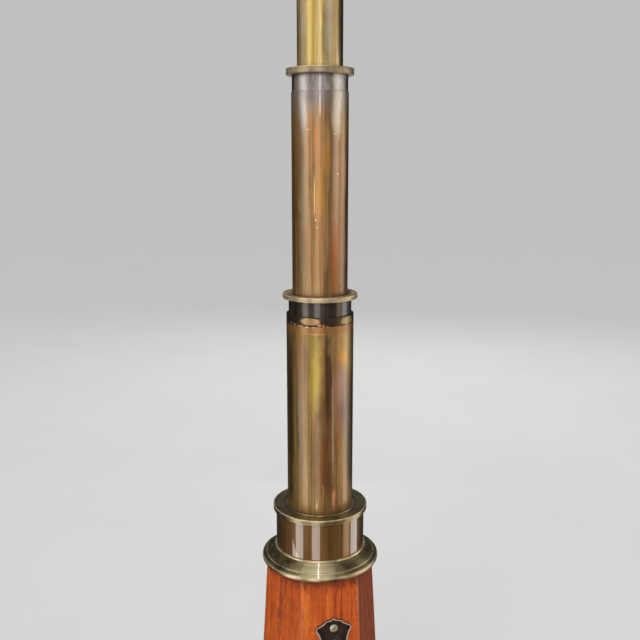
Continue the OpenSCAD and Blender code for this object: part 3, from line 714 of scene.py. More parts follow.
# %% Materials of glass and floor
glass, tree, point = new_material("Optical glass")
smears = smooth(tree, noise(tree, point, 130.0, 4.0, 0.6), 0.45, 0.75, 0.01, 0.09)
relief = add(tree, "ShaderNodeBump", {"Strength": 0.02, "Distance": 0.0001, "Height": smears})
shader = add(tree, "ShaderNodeBsdfPrincipled", {
    "Base Color": (0.93, 0.97, 0.96, 1), "Roughness": smears, "Transmission Weight": 1.0,
    "IOR": 1.52, "Normal": relief.outputs[0]})
add(tree, "ShaderNodeOutputMaterial", {"Surface": shader.outputs[0]})

board, tree, point = new_material("Pale floor board")
mottle = smooth(tree, noise(tree, point, 6.0, 4.0), 0.3, 0.7)
shader = add(tree, "ShaderNodeBsdfPrincipled", {
    "Base Color": blend(tree, mottle, (0.22, 0.218, 0.215, 1), (0.24, 0.238, 0.235, 1)),
    "Roughness": 0.8, "Specular IOR Level": 0.2, "Emission Color": (0.51, 0.51, 0.505, 1),
    "Emission Strength": 1.0})
add(tree, "ShaderNodeOutputMaterial", {"Surface": shader.outputs[0]})

sheet = bmesh.new()
bmesh.ops.create_grid(sheet, x_segments=8, y_segments=8, size=40.0)
floor_mesh = bpy.data.meshes.new("floor")
sheet.to_mesh(floor_mesh)
sheet.free()
floor_mesh.materials.append(board)
floor = new_object("floor", floor_mesh)
floor.visible_glossy, floor.visible_diffuse = False, False
print("floor", [round(c, 2) for c in floor.dimensions])

# %% [markdown]
# ## Turning a profile, the way a lathe does
# A turned piece is one closed profile carried round the axis, so one Geometry Nodes tree makes them
# all. Its input geometry is the profile's points, as loose vertices in the X-Z plane. A grid gets
# one column per step round the axis and one row per point, each of its points is moved to the
# profile's point turned by its column's angle, and merging closes the seam and the poles.
# A screw modifier could do this too, but the tree shows what happens and can be given new inputs.

# %% The lathe tree


def geometry_tree(name, takes):
    """An empty Geometry Nodes tree with a geometry input and output, the named inputs and a finish."""
    tree = bpy.data.node_groups.new(name, "GeometryNodeTree")
    for label, kind in [("Geometry", "Geometry"), *takes, ("Finish", "Material")]:
        tree.interface.new_socket(name=label, in_out="INPUT", socket_type="NodeSocket" + kind)
    tree.interface.new_socket(name="Geometry", in_out="OUTPUT", socket_type="NodeSocketGeometry")
    return tree, tree.nodes.new("NodeGroupInput").outputs, tree.nodes.new("NodeGroupOutput").inputs


def finish_tree(tree, g, out, geometry):
    """Realize Instances and Set Material close every tree."""
    real = add(tree, "GeometryNodeRealizeInstances", {"Geometry": geometry}).outputs[0]
    skin = add(tree, "GeometryNodeSetMaterial", {"Geometry": real, "Material": g["Finish"]})
    tree.links.new(skin.outputs[0], out["Geometry"])
    print("tree", tree.name, len(tree.nodes), "nodes")


def separate(tree, vector):
    return add(tree, "ShaderNodeSeparateXYZ", {0: vector}).outputs


lathe, g, out = geometry_tree("Lathe", [("Steps around", "Int")])
t = lathe
count = add(t, "GeometryNodeAttributeDomainSize", {"Geometry": g["Geometry"]}).outputs[0]
rows = plus(t, count, 1.0)
columns = plus(t, g["Steps around"], 1.0)
grid = add(t, "GeometryNodeMeshGrid", {"Vertices X": columns, "Vertices Y": rows}).outputs[0]
index = add(t, "GeometryNodeInputIndex").outputs[0]
column = maths(t, "FLOOR", maths(t, "DIVIDE", plus(t, index, 0.5), rows))
row = maths(t, "FLOORED_MODULO", minus(t, index, times(t, column, rows)), count)
position = add(t, "GeometryNodeInputPosition").outputs[0]
sample = add(t, "GeometryNodeSampleIndex", {"Geometry": g["Geometry"], "Value": position,
             "Index": row}, data_type="FLOAT_VECTOR", domain="POINT").outputs[0]
profile_at = separate(t, sample)
angle = times(t, maths(t, "DIVIDE", column, g["Steps around"]), math.tau)
place = combine(t, times(t, profile_at[0], maths(t, "COSINE", angle)),
                times(t, profile_at[0], maths(t, "SINE", angle)), profile_at[2])
moved = add(t, "GeometryNodeSetPosition", {"Geometry": grid, "Position": place}).outputs[0]
merged = add(t, "GeometryNodeMergeByDistance", {"Geometry": moved, "Distance": 0.001 * MM})
finish_tree(t, g, out, merged.outputs[0])

# %% [markdown]
# ## From a tree to a piece
# A modifier's input is set by its socket's identifier before the object is first evaluated. The
# evaluated object is then copied into a plain mesh, and the object with the modifier is removed, so
# that only the mesh goes on to ride with its body. A grid brings an empty material place of its own
# along, so the mesh's list is written anew with the one finish.

# %% Running a tree


def run_tree(tree, name, points, values):
    """The mesh that a tree makes from loose points, with inputs given by their names."""
    seed_mesh = bpy.data.meshes.new(name)
    seed_mesh.from_pydata(points, [], [])
    worker = new_object(name + "_worker", seed_mesh)
    modifier = worker.modifiers.new("tree", "NODES")
    modifier.node_group = tree
    for item in tree.interface.items_tree:
        if item.item_type == "SOCKET" and item.in_out == "INPUT" and item.name in values:
            modifier[item.identifier] = values[item.name]
    ready = bpy.context.evaluated_depsgraph_get()
    made = bpy.data.meshes.new_from_object(worker.evaluated_get(ready), depsgraph=ready)
    bpy.data.objects.remove(worker)
    made.name = name
    made.materials.clear()
    made.materials.append(values["Finish"])
    made.polygons.foreach_set("material_index", [0] * len(made.polygons))
    return made


def outward(mesh):
    """Faces of a closed mesh turned outwards."""
    work = bmesh.new()
    work.from_mesh(mesh)
    bmesh.ops.recalc_face_normals(work, faces=work.faces)
    work.to_mesh(mesh)
    work.free()


# %% [markdown]
# ## A piece on its body
# A finished mesh becomes a plain object. It stands for its solids and rides with their body. It is
# shaded smooth up to a crease angle, so that its turned edges stay crisp.

# %% Fitting a piece to its body


def piece(name, mesh, body, nodes=(), crease=35.0):
    """A plain object from a finished mesh, shaded smooth up to the crease angle, on its body."""
    mesh.shade_smooth()
    mesh.set_sharp_from_angle(angle=math.radians(crease))
    made = new_object(name, mesh)
    if nodes:
        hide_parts(*nodes)
    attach(made, body)
    print(name, "-", len(mesh.polygons), "faces on", body)


# %% [markdown]
# ## Profiles with softened corners
# No turned corner is quite sharp, and a soft corner catches a line of light. So a profile is written
# as corners with a rounding each, in millimetres. A rounding takes at most its share of the sides
# beside it, and one too small to see leaves the corner as it is.

# %% Turning a piece from its corners
SIDE_SHARE, TOO_SMALL = 0.45, 0.01
LEAD, LEAD_SHARE = 0.08, 0.05


def bend(start, corner, end, steps):
    """Points of a curve that leaves start towards the corner and reaches end from it."""
    return [start * (1 - f) ** 2 + corner * (2 * f * (1 - f)) + end * f ** 2
            for f in (s / steps for s in range(steps + 1))]


def softened(corners, steps=3):
    """A closed profile with rounded corners, in metres. Each corner is (radius, height, rounding)
    in millimetres. A point just before and after each rounding keeps the flats flat in shading."""
    points = []
    for k, (r, z, rounding) in enumerate(corners):
        here = Vector((r, z))
        back = Vector(corners[k - 1][:2]) - here
        on = Vector(corners[(k + 1) % len(corners)][:2]) - here
        cut_off = min(rounding, back.length * SIDE_SHARE, on.length * SIDE_SHARE)
        if cut_off < TOO_SMALL:
            points.append(here)
            continue
        start, end = here + back.normalized() * cut_off, here + on.normalized() * cut_off
        points.append(start + back.normalized() * min(LEAD, back.length * LEAD_SHARE))
        points += bend(start, here, end, steps)
        points.append(end + on.normalized() * min(LEAD, on.length * LEAD_SHARE))
    return [(p.x * MM, 0.0, p.y * MM) for p in points]


def turn(name, corners, body, nodes, material, steps=192, rubbed_and_highlit=()):
    """A turned piece from its profile's corners. The corners to rub, as (radius, height, reach),
    get the bright edge that hands and cloths leave, which is also a painted highlight on the edge."""
    mesh = run_tree(lathe, name, softened(corners), {"Steps around": steps, "Finish": material})
    outward(mesh)
    if rubbed_and_highlit:
        mesh.materials.append(rubbed_edge_and_highlight)
        for face in mesh.polygons:
            r, z = math.hypot(face.center.x, face.center.y) / MM, face.center.z / MM
            if any(abs(r - at) < near and abs(z - up) < near for at, up, near in rubbed_and_highlit):
                face.material_index = 1
    piece(name, mesh, body, nodes)


# %% [markdown]
# ## Draw tubes
# Each draw is a thin seamless tube. Its lower part is hidden in the next wider tube and appears only
# when the spyglass is pushed together, so the whole tube is turned, wall and bore, with slightly
# broken ends.

# %% Turn the draw tubes
TUBE_WALL, FIT, RUNNING = 0.9, 0.04, 0.05
for number, material in ((1, outer_draw), (2, middle_draw), (3, inner_draw)):
    low, high, outer = span(f"draw_tube_{number}")
    bore = outer - TUBE_WALL
    turn(f"draw_tube_{number}_skin",
         [(bore, low, 0.1), (outer, low, 0.2), (outer, high, 0.2), (bore, high, 0.1)],
         f"draw_{number}", [f"draw_tube_{number}"], material)

# %% [markdown]
# ## Draw rings
# Each wider tube ends in a ring whose shank is pushed into it and guides the next tube. Under the
# thin rim is a narrow neck, smoked and dark on the first ring and silvery on the second. Rim and
# neck are one turned piece on the real object, but they have different finishes, so two turned
# pieces meet just under the rim.

# %% Turn the draw rings
NECK_HIGH, SHANK, MOUTH_BEVEL, FLAT_SHARE = 8.6, 25.0, 1.2, 0.6
for number, rim_high, inset, finish in ((1, 2.7, 1.3, smoked_neck), (2, 3.5, 0.4, silvery_neck_with_painted_light)):
    _, top, rim = span(f"draw_ring_{number}")
    _, _, tube = span(f"draw_tube_{number}")
    _, _, inner = span(f"draw_tube_{number + 1}")
    bore, neck, shank = inner + RUNNING, tube - inset, tube - TUBE_WALL - FIT
    under = top - rim_high
    shoulder = under - NECK_HIGH
    turn(f"draw_ring_{number}_rim",
         [(bore, under, 0), (rim, under, 0.45), (rim, top, 0.45),
          (bore + (tube - bore) * FLAT_SHARE, top, 0.25), (bore, top - MOUTH_BEVEL, 0)],
         f"draw_{number}", [f"draw_ring_{number}"], ring_brass,
         rubbed_and_highlit=[(rim, top, 0.4)])
    turn(f"draw_ring_{number}_neck",
         [(bore, shoulder - SHANK, 0), (shank, shoulder - SHANK, 0.2), (shank, shoulder, 0),
          (neck, shoulder, 0.1), (neck, under, 0), (bore, under, 0)],
         f"draw_{number}", [], finish)

# %% [markdown]
# ## Flanges
# The collar's flange lies on the wood: a rounded lip, and a smooth cone with two fine turned lines
# that rises to a thin seat ring round the band. The wide end has the same flange the other way up.

# %% Turn the collar's flange
LIP, LIP_EDGE, CONE_INSET = 2.0, 0.2, 0.3
SEAT_RING, SEAT_HIGH, SEAT_EDGE = 0.9, 1.0, 0.15
FLANGE_HIGH = FLANGE_TOP - WOOD_TOP
# The turned lines lie part of the way from the seat ring out to the lip.
LINE, LINE_HALF, CUT_HALF, CUT_DEEP = 0.70, 0.035, 0.012, 0.09


def flange(name, node, outer, hole, foot, way, steps):
    """A flange that stands on foot and rises up (way 1) or down (way -1). Its lip, its seat ring
    and the narrow ridge between the two turned lines are bright from wear and carry painted
    highlights."""
    seat, cone_top, cone_r = hole + SEAT_RING, FLANGE_HIGH - SEAT_HIGH, outer - CONE_INSET

    def on_cone(part, sink=0.0):
        return seat + (cone_r - seat) * part, cone_top + (LIP - cone_top) * part - sink

    shape = [(hole, 0, 0), (outer, 0, 0.4), (outer, LIP - LIP_EDGE, 0.6)]
    for part in (LINE + LINE_HALF, LINE - LINE_HALF):
        shape += [(*on_cone(part + CUT_HALF), 0.02), (*on_cone(part, CUT_DEEP), 0.02),
                  (*on_cone(part - CUT_HALF), 0.02)]
    shape += [(seat, cone_top, 0.15), (seat - SEAT_EDGE, FLANGE_HIGH, 0.35), (hole, FLANGE_HIGH, 0)]
    edges = [(outer, LIP - LIP_EDGE, 0.6), (seat, FLANGE_HIGH, 0.9), (*on_cone(LINE), 0.2)]
    standing, rubbed_and_highlit = ([(r, foot + way * z, third) for r, z, third in part]
                        for part in (shape, edges))
    turn(name, standing, "barrel", [node], olive_brass, steps=steps, rubbed_and_highlit=rubbed_and_highlit)


flange("barrel_flange_turned", "barrel_flange", FLANGE_R, BAND_R + FIT, WOOD_TOP, way=1, steps=224)

# %% [markdown]
# ## Collar: band and rim
# The band is a plain polished cylinder. The rim above it is a flat disc with a turned groove round
# the tube's mouth, and runs down inside as the guide bush.

# %% Turn the band and the rim
BAND_WALL, GROOVE_OUT, GROOVE_STEP, GROOVE_DEEP = 3.4, 1.65, 0.3, 0.4
band_bore = BAND_R - BAND_WALL
turn("collar_band_turned",
     [(band_bore, WOOD_TOP, 0), (BAND_R, WOOD_TOP, 0), (BAND_R, BAND_TOP, 0.1),
      (band_bore, BAND_TOP, 0)],
     "barrel", ["collar_band"], brown_lacquer, steps=224)
_, _, tube = span("draw_tube_1")
bore, bush = tube + RUNNING, band_bore - FIT
groove, groove_floor = tube + GROOVE_OUT, RIM_TOP - GROOVE_DEEP
turn("collar_rim_turned",
     [(bore, BUSH_LOW, 0.2), (bush, BUSH_LOW, 0.2), (bush, BAND_TOP, 0), (RIM_R, BAND_TOP, 0.4),
      (RIM_R, RIM_TOP, 0.55), (groove + 2 * GROOVE_STEP, RIM_TOP, 0.15),
      (groove + GROOVE_STEP, groove_floor, 0.1), (groove, groove_floor, 0.1),
      (groove - GROOVE_STEP, RIM_TOP, 0.15), (bore, RIM_TOP, 0.4)],
     "barrel", ["collar_rim"], olive_brass, steps=224,
     rubbed_and_highlit=[(RIM_R, RIM_TOP, 0.4), (bore, RIM_TOP, 0.3)])

# %% [markdown]
# ## Objective end
# At the wide end the second flange covers the wood, and the objective cell is screwed in under it: a
# short cylinder with a raised bead at its root and a bevelled mouth, on which the spyglass stands.

# %% Turn the objective end
_, cell_top, cell_reach = span("objective_cell")
_, _, base_r = span("objective_flange")
_, _, objective_r = span("crown_lens")
SPIGOT_WALL, APERTURE_LIP, MOUTH_DEEP, SEAT_OVER_MOUTH = 2.6, 2.4, 8.0, 1.5
# The bead's foot, lower edge and upper edge are measured down from the flange.
CELL_WALL, BEAD_OUT, BEAD_FOOT, BEAD_LOW, BEAD_HIGH = 3.5, 0.7, 1.6, 1.1, 0.5
spigot_r, aperture_r = objective_r + SPIGOT_WALL, objective_r - APERTURE_LIP
spigot_hole, pocket_r = spigot_r + FIT, objective_r + FIT
cell_high, cell_r = WOOD_LOW - FLANGE_HIGH, cell_reach - BEAD_OUT
lens_seat = MOUTH_DEEP + SEAT_OVER_MOUTH
flange("objective_flange_turned", "objective_flange", base_r, spigot_hole, WOOD_LOW, way=-1, steps=256)
turn("objective_cell_turned",
     [(cell_r - CELL_WALL, 0, 0.2), (cell_r, 0, 0.5), (cell_r, cell_high - BEAD_FOOT, 0.2),
      (cell_reach, cell_high - BEAD_LOW, 0.3), (cell_reach, cell_high - BEAD_HIGH, 0.3),
      (cell_r, cell_high, 0.1), (spigot_r, cell_high, 0), (spigot_r, cell_top, 0.3),
      (pocket_r, cell_top, 0), (pocket_r, lens_seat, 0), (aperture_r, lens_seat, 0),
      (aperture_r, MOUTH_DEEP, 0.3)],
     "barrel", ["objective_cell"], brown_lacquer, steps=256)
print("spigot", spigot_r, "lens pocket", pocket_r, "aperture", aperture_r, "recess", cell_top + FIT)

# %% [markdown]
# ## The wooden barrel
# Six flat faces taper towards the collar, and years of handling rounded the corners between them.
# A loft does this: the same rounded hexagon is repeated up the barrel, larger at the foot, and the
# bore and the recess for the objective's spigot are rows of the same loft drawn as circles. Very
# small waves on the faces, from the plane, keep the varnish's reflection from looking like glass.

# %% Loft the barrel
CORNER_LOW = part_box("wood_barrel")[1][0] / MM
FLARE, STEPS_UP, ROUNDED = 10.8, 72, 0.035
WAVE, WAVE_UP, WAVE_ROUND, SWELL_ROUND = 0.0012, 0.16, 0.9, 0.37
CORNER_TOP = CORNER_LOW - FLARE


def hexagon(rounding, flats=7, turns=5, lead=0.01):
    """A hexagon of corner radius 1 with rounded corners, as points round the axis."""
    points = []
    for k in range(6):
        before, corner, after = (Vector(on_circle(60 * (k + step))) for step in (-1, 0, 1))
        start, end = corner.lerp(before, rounding), corner.lerp(after, rounding)
        points += [start.lerp(before, lead), *bend(start, corner, end, turns), end.lerp(after, lead)]
        following = after.lerp(corner, rounding)
        points += [end.lerp(following, s / flats) for s in range(1, flats)]
    return points


section, recess_top = hexagon(ROUNDED), cell_top + FIT
rows = [("round", spigot_hole, WOOD_LOW)]
for s in range(STEPS_UP + 1):
    f = s / STEPS_UP
    rows.append(("waved" if 0 < s < STEPS_UP else "flat", CORNER_LOW + (CORNER_TOP - CORNER_LOW) * f,
                 WOOD_LOW + (WOOD_TOP - WOOD_LOW) * f))
rows += [("round", band_bore, WOOD_TOP), ("round", band_bore, recess_top),
         ("round", spigot_hole, recess_top)]
points, faces, around = [], [], len(section)
for j, (kind, size, high) in enumerate(rows):
    above = ((j + 1) % len(rows)) * around
    for k, p in enumerate(section):
        if kind == "round":
            p = p.normalized()
        elif kind == "waved":
            wave = math.sin(high * WAVE_UP + k * WAVE_ROUND) * math.sin(k * SWELL_ROUND)
            p = p * (1 - WAVE * (1 + wave))
        points.append((p.x * size * MM, p.y * size * MM, high * MM))
        beside = (k + 1) % around
        faces.append((j * around + k, j * around + beside, above + beside, above + k))
barrel_mesh = bpy.data.meshes.new("barrel_wood")
barrel_mesh.from_pydata(points, [], faces)
barrel_mesh.materials.append(wood_material)
outward(barrel_mesh)
piece("barrel_wood", barrel_mesh, "barrel", ["wood_barrel"])

# %% [markdown]
# ## Plate
# A cast bronze plate with ornamental ends is screwed to the front face. It is left bare here: a
# raised edge follows the outline, and a plain domed oval sits in a ring of beads where an owner's
# mark would be. The outline is cut from a few arcs, filled, and inset to raise its edge.

# %% The plate's place on the face
PLATE_DROP, PLATE_SIDE = 25.0, 1.8
PLATE_LONG, PLATE_THICK, PLATE_END = 62.0, 0.9, 14.5
EAR, EAR_R, EAR_DROP = 10.7, 2.2, 7.0
BELLY_WIDE, BELLY_HIGH, BELLY_STEPS = 10.2, 21.0, 32
ACROSS_FLATS = math.cos(math.radians(30))
TILT = math.atan((CORNER_LOW - CORNER_TOP) * ACROSS_FLATS / (WOOD_TOP - WOOD_LOW))


def on_face(high):
    """The frame of the front face at a height: +X right, +Y up the face, +Z out of it."""
    corner = CORNER_TOP + (CORNER_LOW - CORNER_TOP) * (WOOD_TOP - high) / (WOOD_TOP - WOOD_LOW)
    return (Matrix.Translation((0, -corner * ACROSS_FLATS * MM, high * MM))
            @ Matrix.Rotation(math.radians(90) - TILT, 4, "X"))


def arc(cx, cy, r, a0, a1, n):
    """Points of an arc round (cx, cy) from angle a0 to a1, in n steps."""
    around_centre = (on_circle(a0 + (a1 - a0) * k / n, r) for k in range(n + 1))
    return [(cx + x, cy + y) for x, y in around_centre]


face_frame = on_face(WOOD_TOP - PLATE_DROP) @ Matrix.Translation((PLATE_SIDE * MM, 0, 0))
plate_middle = -PLATE_LONG / 2
waist = EAR - EAR_R
narrow = waist - 0.3
point_end = [(0, 0), (0.8, -0.8), (1.9, -1.3), (3.6, -1.6), (5.2, -2.3), (5.7, -3.2), (7.4, -4.0)]
ear = arc(waist, -EAR_DROP, EAR_R, 75, -40, 7)
below_ear = [(EAR - 1.2, -9.4), (waist, -12.0), (narrow, -PLATE_END)]
half = point_end + ear + below_ear
unit_half = (on_circle(90 - 180 * k / BELLY_STEPS) for k in range(BELLY_STEPS + 1))
belly = [(BELLY_WIDE * x, plate_middle + BELLY_HIGH * y) for x, y in unit_half]
side = [(x, y) for x, y in belly if x > narrow]
right = half + side + [(x, -PLATE_LONG - y) for x, y in reversed(half)]
outline = right + [(-x, y) for x, y in reversed(right) if abs(x) > 1e-6]
print("plate outline", len(outline), "points")

# %% [markdown]
# ## Casting the plate
# The filled outline is raised to its thickness, and three insets shape the edge: up to its crest,
# level across the crest, which is rubbed bright, and down again to the field.

# %% Cast the plate
EDGE_FOOT, EDGE_STEPS, FIELD_DOWN = 0.3, ((0.2, 0.42), (0.6, 0.0), (0.3, -0.32)), 0.2


def cast_plate():
    """The plate with its raised edge, each step of which goes so far in and so far up. Extruding
    lists the side faces in another order on each run, so they are sorted by their middles."""
    work = bmesh.new()
    ring = [work.verts.new((x * MM, y * MM, 0)) for x, y in outline]
    top = work.faces.new(ring)
    if top.normal.z < 0:
        top.normal_flip()
    lifted = bmesh.ops.extrude_face_region(work, geom=[top])["geom"]
    for v in lifted:
        if isinstance(v, bmesh.types.BMVert):
            v.co.z = (PLATE_THICK - EDGE_FOOT) * MM
    top = [f for f in lifted if isinstance(f, bmesh.types.BMFace)][0]
    for inset, rise in EDGE_STEPS:
        rim = bmesh.ops.inset_region(work, faces=[top], thickness=inset * MM, depth=0)["faces"]
        for v in top.verts:
            v.co.z += rise * MM
        if rise == 0:
            for face in rim:
                face.material_index = 1
    bmesh.ops.recalc_face_normals(work, faces=work.faces)
    bmesh.ops.triangulate(work, faces=[f for f in work.faces if len(f.verts) > 4])
    for k, face in enumerate(sorted(work.faces, key=lambda f: f.calc_center_median()[:])):
        face.index = k
    work.faces.sort()
    mesh = bpy.data.meshes.new("plate")
    work.to_mesh(mesh)
    work.free()
    mesh.transform(face_frame)
    mesh.materials.append(plate_bronze)
    mesh.materials.append(plate_edge)
    return mesh


piece("name_plate_cast", cast_plate(), "barrel", ["name_plate"], 30)
BOSS_R, BOSS_HALF_HIGH, BOSS_FLAT = 6.8, 17.4, 0.62
dome = [(0.0, 0.02, 0), (BOSS_R, 0.02, 0), (BOSS_R, 0.35, 0.3), (5.6, 0.75, 1.0), (3.0, 0.98, 1.0),
        (0.0, 1.05, 0)]
boss = run_tree(lathe, "plate_boss", softened(dome), {"Steps around": 96, "Finish": plate_bronze})
outward(boss)
centre = Matrix.Translation((0, plate_middle * MM, (PLATE_THICK - FIELD_DOWN) * MM))
oval = Matrix.Diagonal((1.0, BOSS_HALF_HIGH / BOSS_R, BOSS_FLAT, 1.0))
boss.transform(face_frame @ centre @ oval)
piece("plate_boss", boss, "barrel", [], 30)

# %% [markdown]
# ## Bead row
# The beads round the oval repeat along a path, which is what Geometry Nodes do best: an ellipse is
# cut into equal steps and a small faceted ball is put on each. Seventy-two beads of eighty faces
# look round at this size.

# %% String the beads


def transformed(tree, geometry, **how):
    """The geometry with a Scale or a Translation."""
    return add(tree, "GeometryNodeTransform", {"Geometry": geometry, **how}).outputs[0]


def on_points(tree, points, thing, **how):
    """The thing placed on every point."""
    return add(tree, "GeometryNodeInstanceOnPoints", {"Points": points, "Instance": thing,
                                                      **how}).outputs[0]


beads, g, out = geometry_tree("Bead row", [("Half width", "Float"), ("Half height", "Float"),
                                           ("Bead radius", "Float"), ("Beads", "Int")])
t = beads
hoop = add(t, "GeometryNodeCurvePrimitiveCircle", {"Resolution": 96, "Radius": 1.0}).outputs[0]
oval = transformed(t, hoop, Scale=combine(t, g["Half width"], g["Half height"], 1.0))
steps = add(t, "GeometryNodeResampleCurve", {"Curve": oval, "Count": g["Beads"]}).outputs[0]
ball = add(t, "GeometryNodeMeshIcoSphere", {"Radius": g["Bead radius"], "Subdivisions": 2})
finish_tree(t, g, out, on_points(t, steps, ball.outputs[0]))
BEADS, BEAD_R, BEADS_OUT, BEADS_UP = 72, 0.42, 1.3, 1.9
BEAD_HEIGHT = PLATE_THICK - FIELD_DOWN + 0.02
row = run_tree(beads, "plate_beads", [(0, 0, 0)], {
    "Half width": (BOSS_R + BEADS_OUT) * MM, "Half height": (BOSS_HALF_HIGH + BEADS_UP) * MM,
    "Bead radius": BEAD_R * MM, "Beads": BEADS, "Finish": plate_bronze})
row.transform(face_frame @ Matrix.Translation((0, plate_middle * MM, BEAD_HEIGHT * MM)))
piece("plate_beads", row, "barrel", [], 60)

# %% [markdown]
# ## Slotted screws
# Two domed screws hold the plate. The head is turned, and the slot is cut through it by a boolean
# node. The tree then puts one head on each point it is given, turned by a named angle, as the
# fitter left it.

# %% Cut and place the screws
# The bar that cuts the slot, by shares of the head's radius and height.
BAR_LONG, BAR_UP = 2.4, 0.68
screws, g, out = geometry_tree("Slotted screws", [
    (label, "Float") for label in ("Head radius", "Head height", "Slot width", "Slot angle")])
t = screws
ball = add(t, "GeometryNodeMeshUVSphere", {"Segments": 40, "Rings": 24, "Radius": g["Head radius"]})
flat = maths(t, "DIVIDE", g["Head height"], g["Head radius"])
pressed = transformed(t, ball.outputs[0], Scale=combine(t, 1.0, 1.0, flat))
bar = add(t, "GeometryNodeMeshCube", {"Size": combine(
    t, times(t, g["Head radius"], BAR_LONG), g["Slot width"], g["Head height"])}).outputs[0]
raised = transformed(t, bar, Translation=combine(t, z=times(t, g["Head height"], BAR_UP)))
head = add(t, "GeometryNodeMeshBoolean", {0: pressed, 1: raised}, operation="DIFFERENCE",
           solver="EXACT").outputs[0]
finish_tree(t, g, out, on_points(t, g["Geometry"], head, Rotation=combine(t, z=g["Slot angle"])))
SCREW_INSET, HEAD_R, HEAD_HIGH, SLOT, FITTED_AT = 6.5, 2.3, 0.9, 1.0, math.radians(32)
heads = run_tree(screws, "plate_screw_heads",
                 [(0, y * MM, PLATE_THICK * MM) for y in (-SCREW_INSET, SCREW_INSET - PLATE_LONG)],
                 {"Head radius": HEAD_R * MM, "Head height": HEAD_HIGH * MM,
                  "Slot width": SLOT * MM, "Slot angle": FITTED_AT, "Finish": screw_brass_and_highlight})
heads.transform(face_frame)
piece("plate_screw_heads", heads, "barrel", ["plate_screws"], 40)

# %% [markdown]
# ## Eyepiece
# The drum is pushed over the end of the narrow draw. It is turned, with a sunk band for the knurl.

# %% Turn the drum
low, high, drum_r = span("eyepiece_drum")
cap_low, cap_high, _ = span("eye_cap")
_, _, tube_3 = span("draw_tube_3")
OCULAR_OUT, OCULAR_HIGH, DRUM_SEAT, FOOT_HIGH = 2.6, 2.0, 6.0, 2.6
COVE_DEEP, COVE_END, COVE_STEP, STEP_DEEP, STEP_HIGH = 2.2, 1.6, 0.8, 1.2, 0.6
KNURL_FROM, KNURL_TO, KNURL_DEEP = 0.35, 0.8, 0.8
knurl_low, knurl_high = low + (high - low) * KNURL_FROM, low + (high - low) * KNURL_TO
knurl_floor, drum_bore = drum_r - KNURL_DEEP, tube_3 - TUBE_WALL
ocular_r = drum_bore + OCULAR_OUT
seat_z, foot_top, tube_top = cap_low - FIT - OCULAR_HIGH, low + FOOT_HIGH, low + DRUM_SEAT
turn("eyepiece_drum_turned",
     [(tube_3 + FIT, low, 0.1), (drum_r, low, 0.45), (drum_r, foot_top, 0.45),
      (drum_r - COVE_DEEP, foot_top + COVE_STEP, 0.3), (drum_r - COVE_END, knurl_low, 0.3),
      (knurl_floor, knurl_low + 0.02, 0.1), (knurl_floor, knurl_high, 0.1),
      (drum_r - STEP_DEEP, knurl_high + STEP_HIGH, 0.2), (drum_r, knurl_high + 2 * STEP_HIGH, 0.3),
      (drum_r, high, 0.5), (ocular_r + FIT, high, 0.15), (ocular_r + FIT, seat_z, 0),
      (drum_bore, seat_z, 0), (drum_bore, tube_top, 0), (tube_3 + FIT, tube_top, 0)],
     "draw_3", ["eyepiece_drum"], ring_brass,
     rubbed_and_highlit=[(drum_r, edge_z, 0.5) for edge_z in (low, foot_top, high)])

# %% [markdown]
# ## Knurled band
# The fingers turn the drum by its knurl, which is one rib repeated all round. So it is a tree too: a
# narrow rib with eight sides on every point of a circle, turned to face outwards. The ribs' middles
# lie just inside the floor of the sunk band.

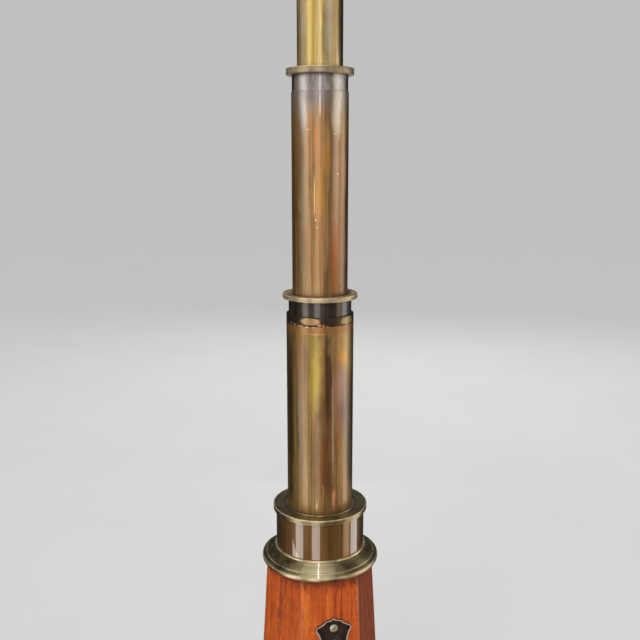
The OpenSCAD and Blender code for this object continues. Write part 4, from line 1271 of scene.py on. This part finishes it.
# %% Knurl the band
knurl, g, out = geometry_tree("Knurl", [
    ("Ribs", "Int"), ("Radius", "Float"), ("Rib width", "Float"), ("Rib depth", "Float"),
    ("Bottom", "Float"), ("Top", "Float")])
t = knurl
rib = add(t, "GeometryNodeMeshCylinder", {"Vertices": 8, "Side Segments": 1, "Radius": 1.0,
                                          "Depth": 1.0}).outputs[0]
tall = minus(t, g["Top"], g["Bottom"])
shape = transformed(t, rib, Scale=combine(t, g["Rib depth"], g["Rib width"], tall))
circle = add(t, "GeometryNodeMeshCircle", {"Vertices": g["Ribs"], "Radius": g["Radius"]}).outputs[0]
middle = times(t, plus(t, g["Top"], g["Bottom"]), 0.5)
lifted = transformed(t, circle, Translation=combine(t, z=middle))
spot = separate(t, add(t, "GeometryNodeInputPosition").outputs[0])
facing = combine(t, z=maths(t, "ARCTAN2", spot[1], spot[0]))
finish_tree(t, g, out, on_points(t, lifted, shape, Rotation=facing))
RIB, RIBS, RIB_SUNK = 0.62, 60, 0.05
knurled = run_tree(knurl, "eyepiece_knurl", [(0, 0, 0)], {
    "Ribs": RIBS, "Radius": (knurl_floor - RIB_SUNK) * MM, "Rib width": RIB * MM,
    "Rib depth": RIB * MM, "Bottom": knurl_low * MM, "Top": knurl_high * MM, "Finish": ring_brass})
piece("eyepiece_knurl", knurled, "draw_3", [], 50)

# %% [markdown]
# ## Eye cap
# The cap closes the drum. Its spigot fits the drum's mouth, and the eye hole sits in a small dish.

# %% Turn the cap
EYE_HOLE, DISH_WIDE, DISH_DEEP, CAP_INSET = 3.5, 1.6, 0.9, 0.6
cap_r = drum_r - CAP_INSET
turn("eye_cap_turned",
     [(EYE_HOLE, cap_low, 0), (ocular_r, cap_low, 0), (ocular_r, high + FIT, 0),
      (cap_r, high + FIT, 0.1), (cap_r, cap_high, 0.8), (EYE_HOLE + DISH_WIDE, cap_high, 0.5),
      (EYE_HOLE, cap_high - DISH_DEEP, 0.3)],
     "draw_3", ["eye_cap"], ring_brass, rubbed_and_highlit=[(cap_r, cap_high, 0.8)])

# %% [markdown]
# ## Pieces that keep their solids
# Lenses, stops, the tubes that hold them, the stop collars, the shutter and its screw already have
# their right shape as solids. They only get a finish, by their material slots.

# %% Finish the other solids
KEPT = {
    glass: ["crown_lens", "flint_lens", "erector_lens_front", "erector_lens_back", "field_lens",
            "eye_lens"],
    black_brass: ["objective_retainer", "erector_tube", "erector_stop", "ocular_tube",
                  "field_stop"],
    olive_brass: ["stop_collar_1", "stop_collar_2", "stop_collar_3"],
    rubbed_edge_and_highlight: ["eye_shutter"],
    screw_brass_and_highlight: ["shutter_screw"]}
for material, nodes in KEPT.items():
    for node in nodes:
        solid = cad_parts[node]
        if not solid.material_slots:
            solid.data.materials.append(material)
        for place in solid.material_slots:
            place.material = material
    print(material.name, "on", nodes)
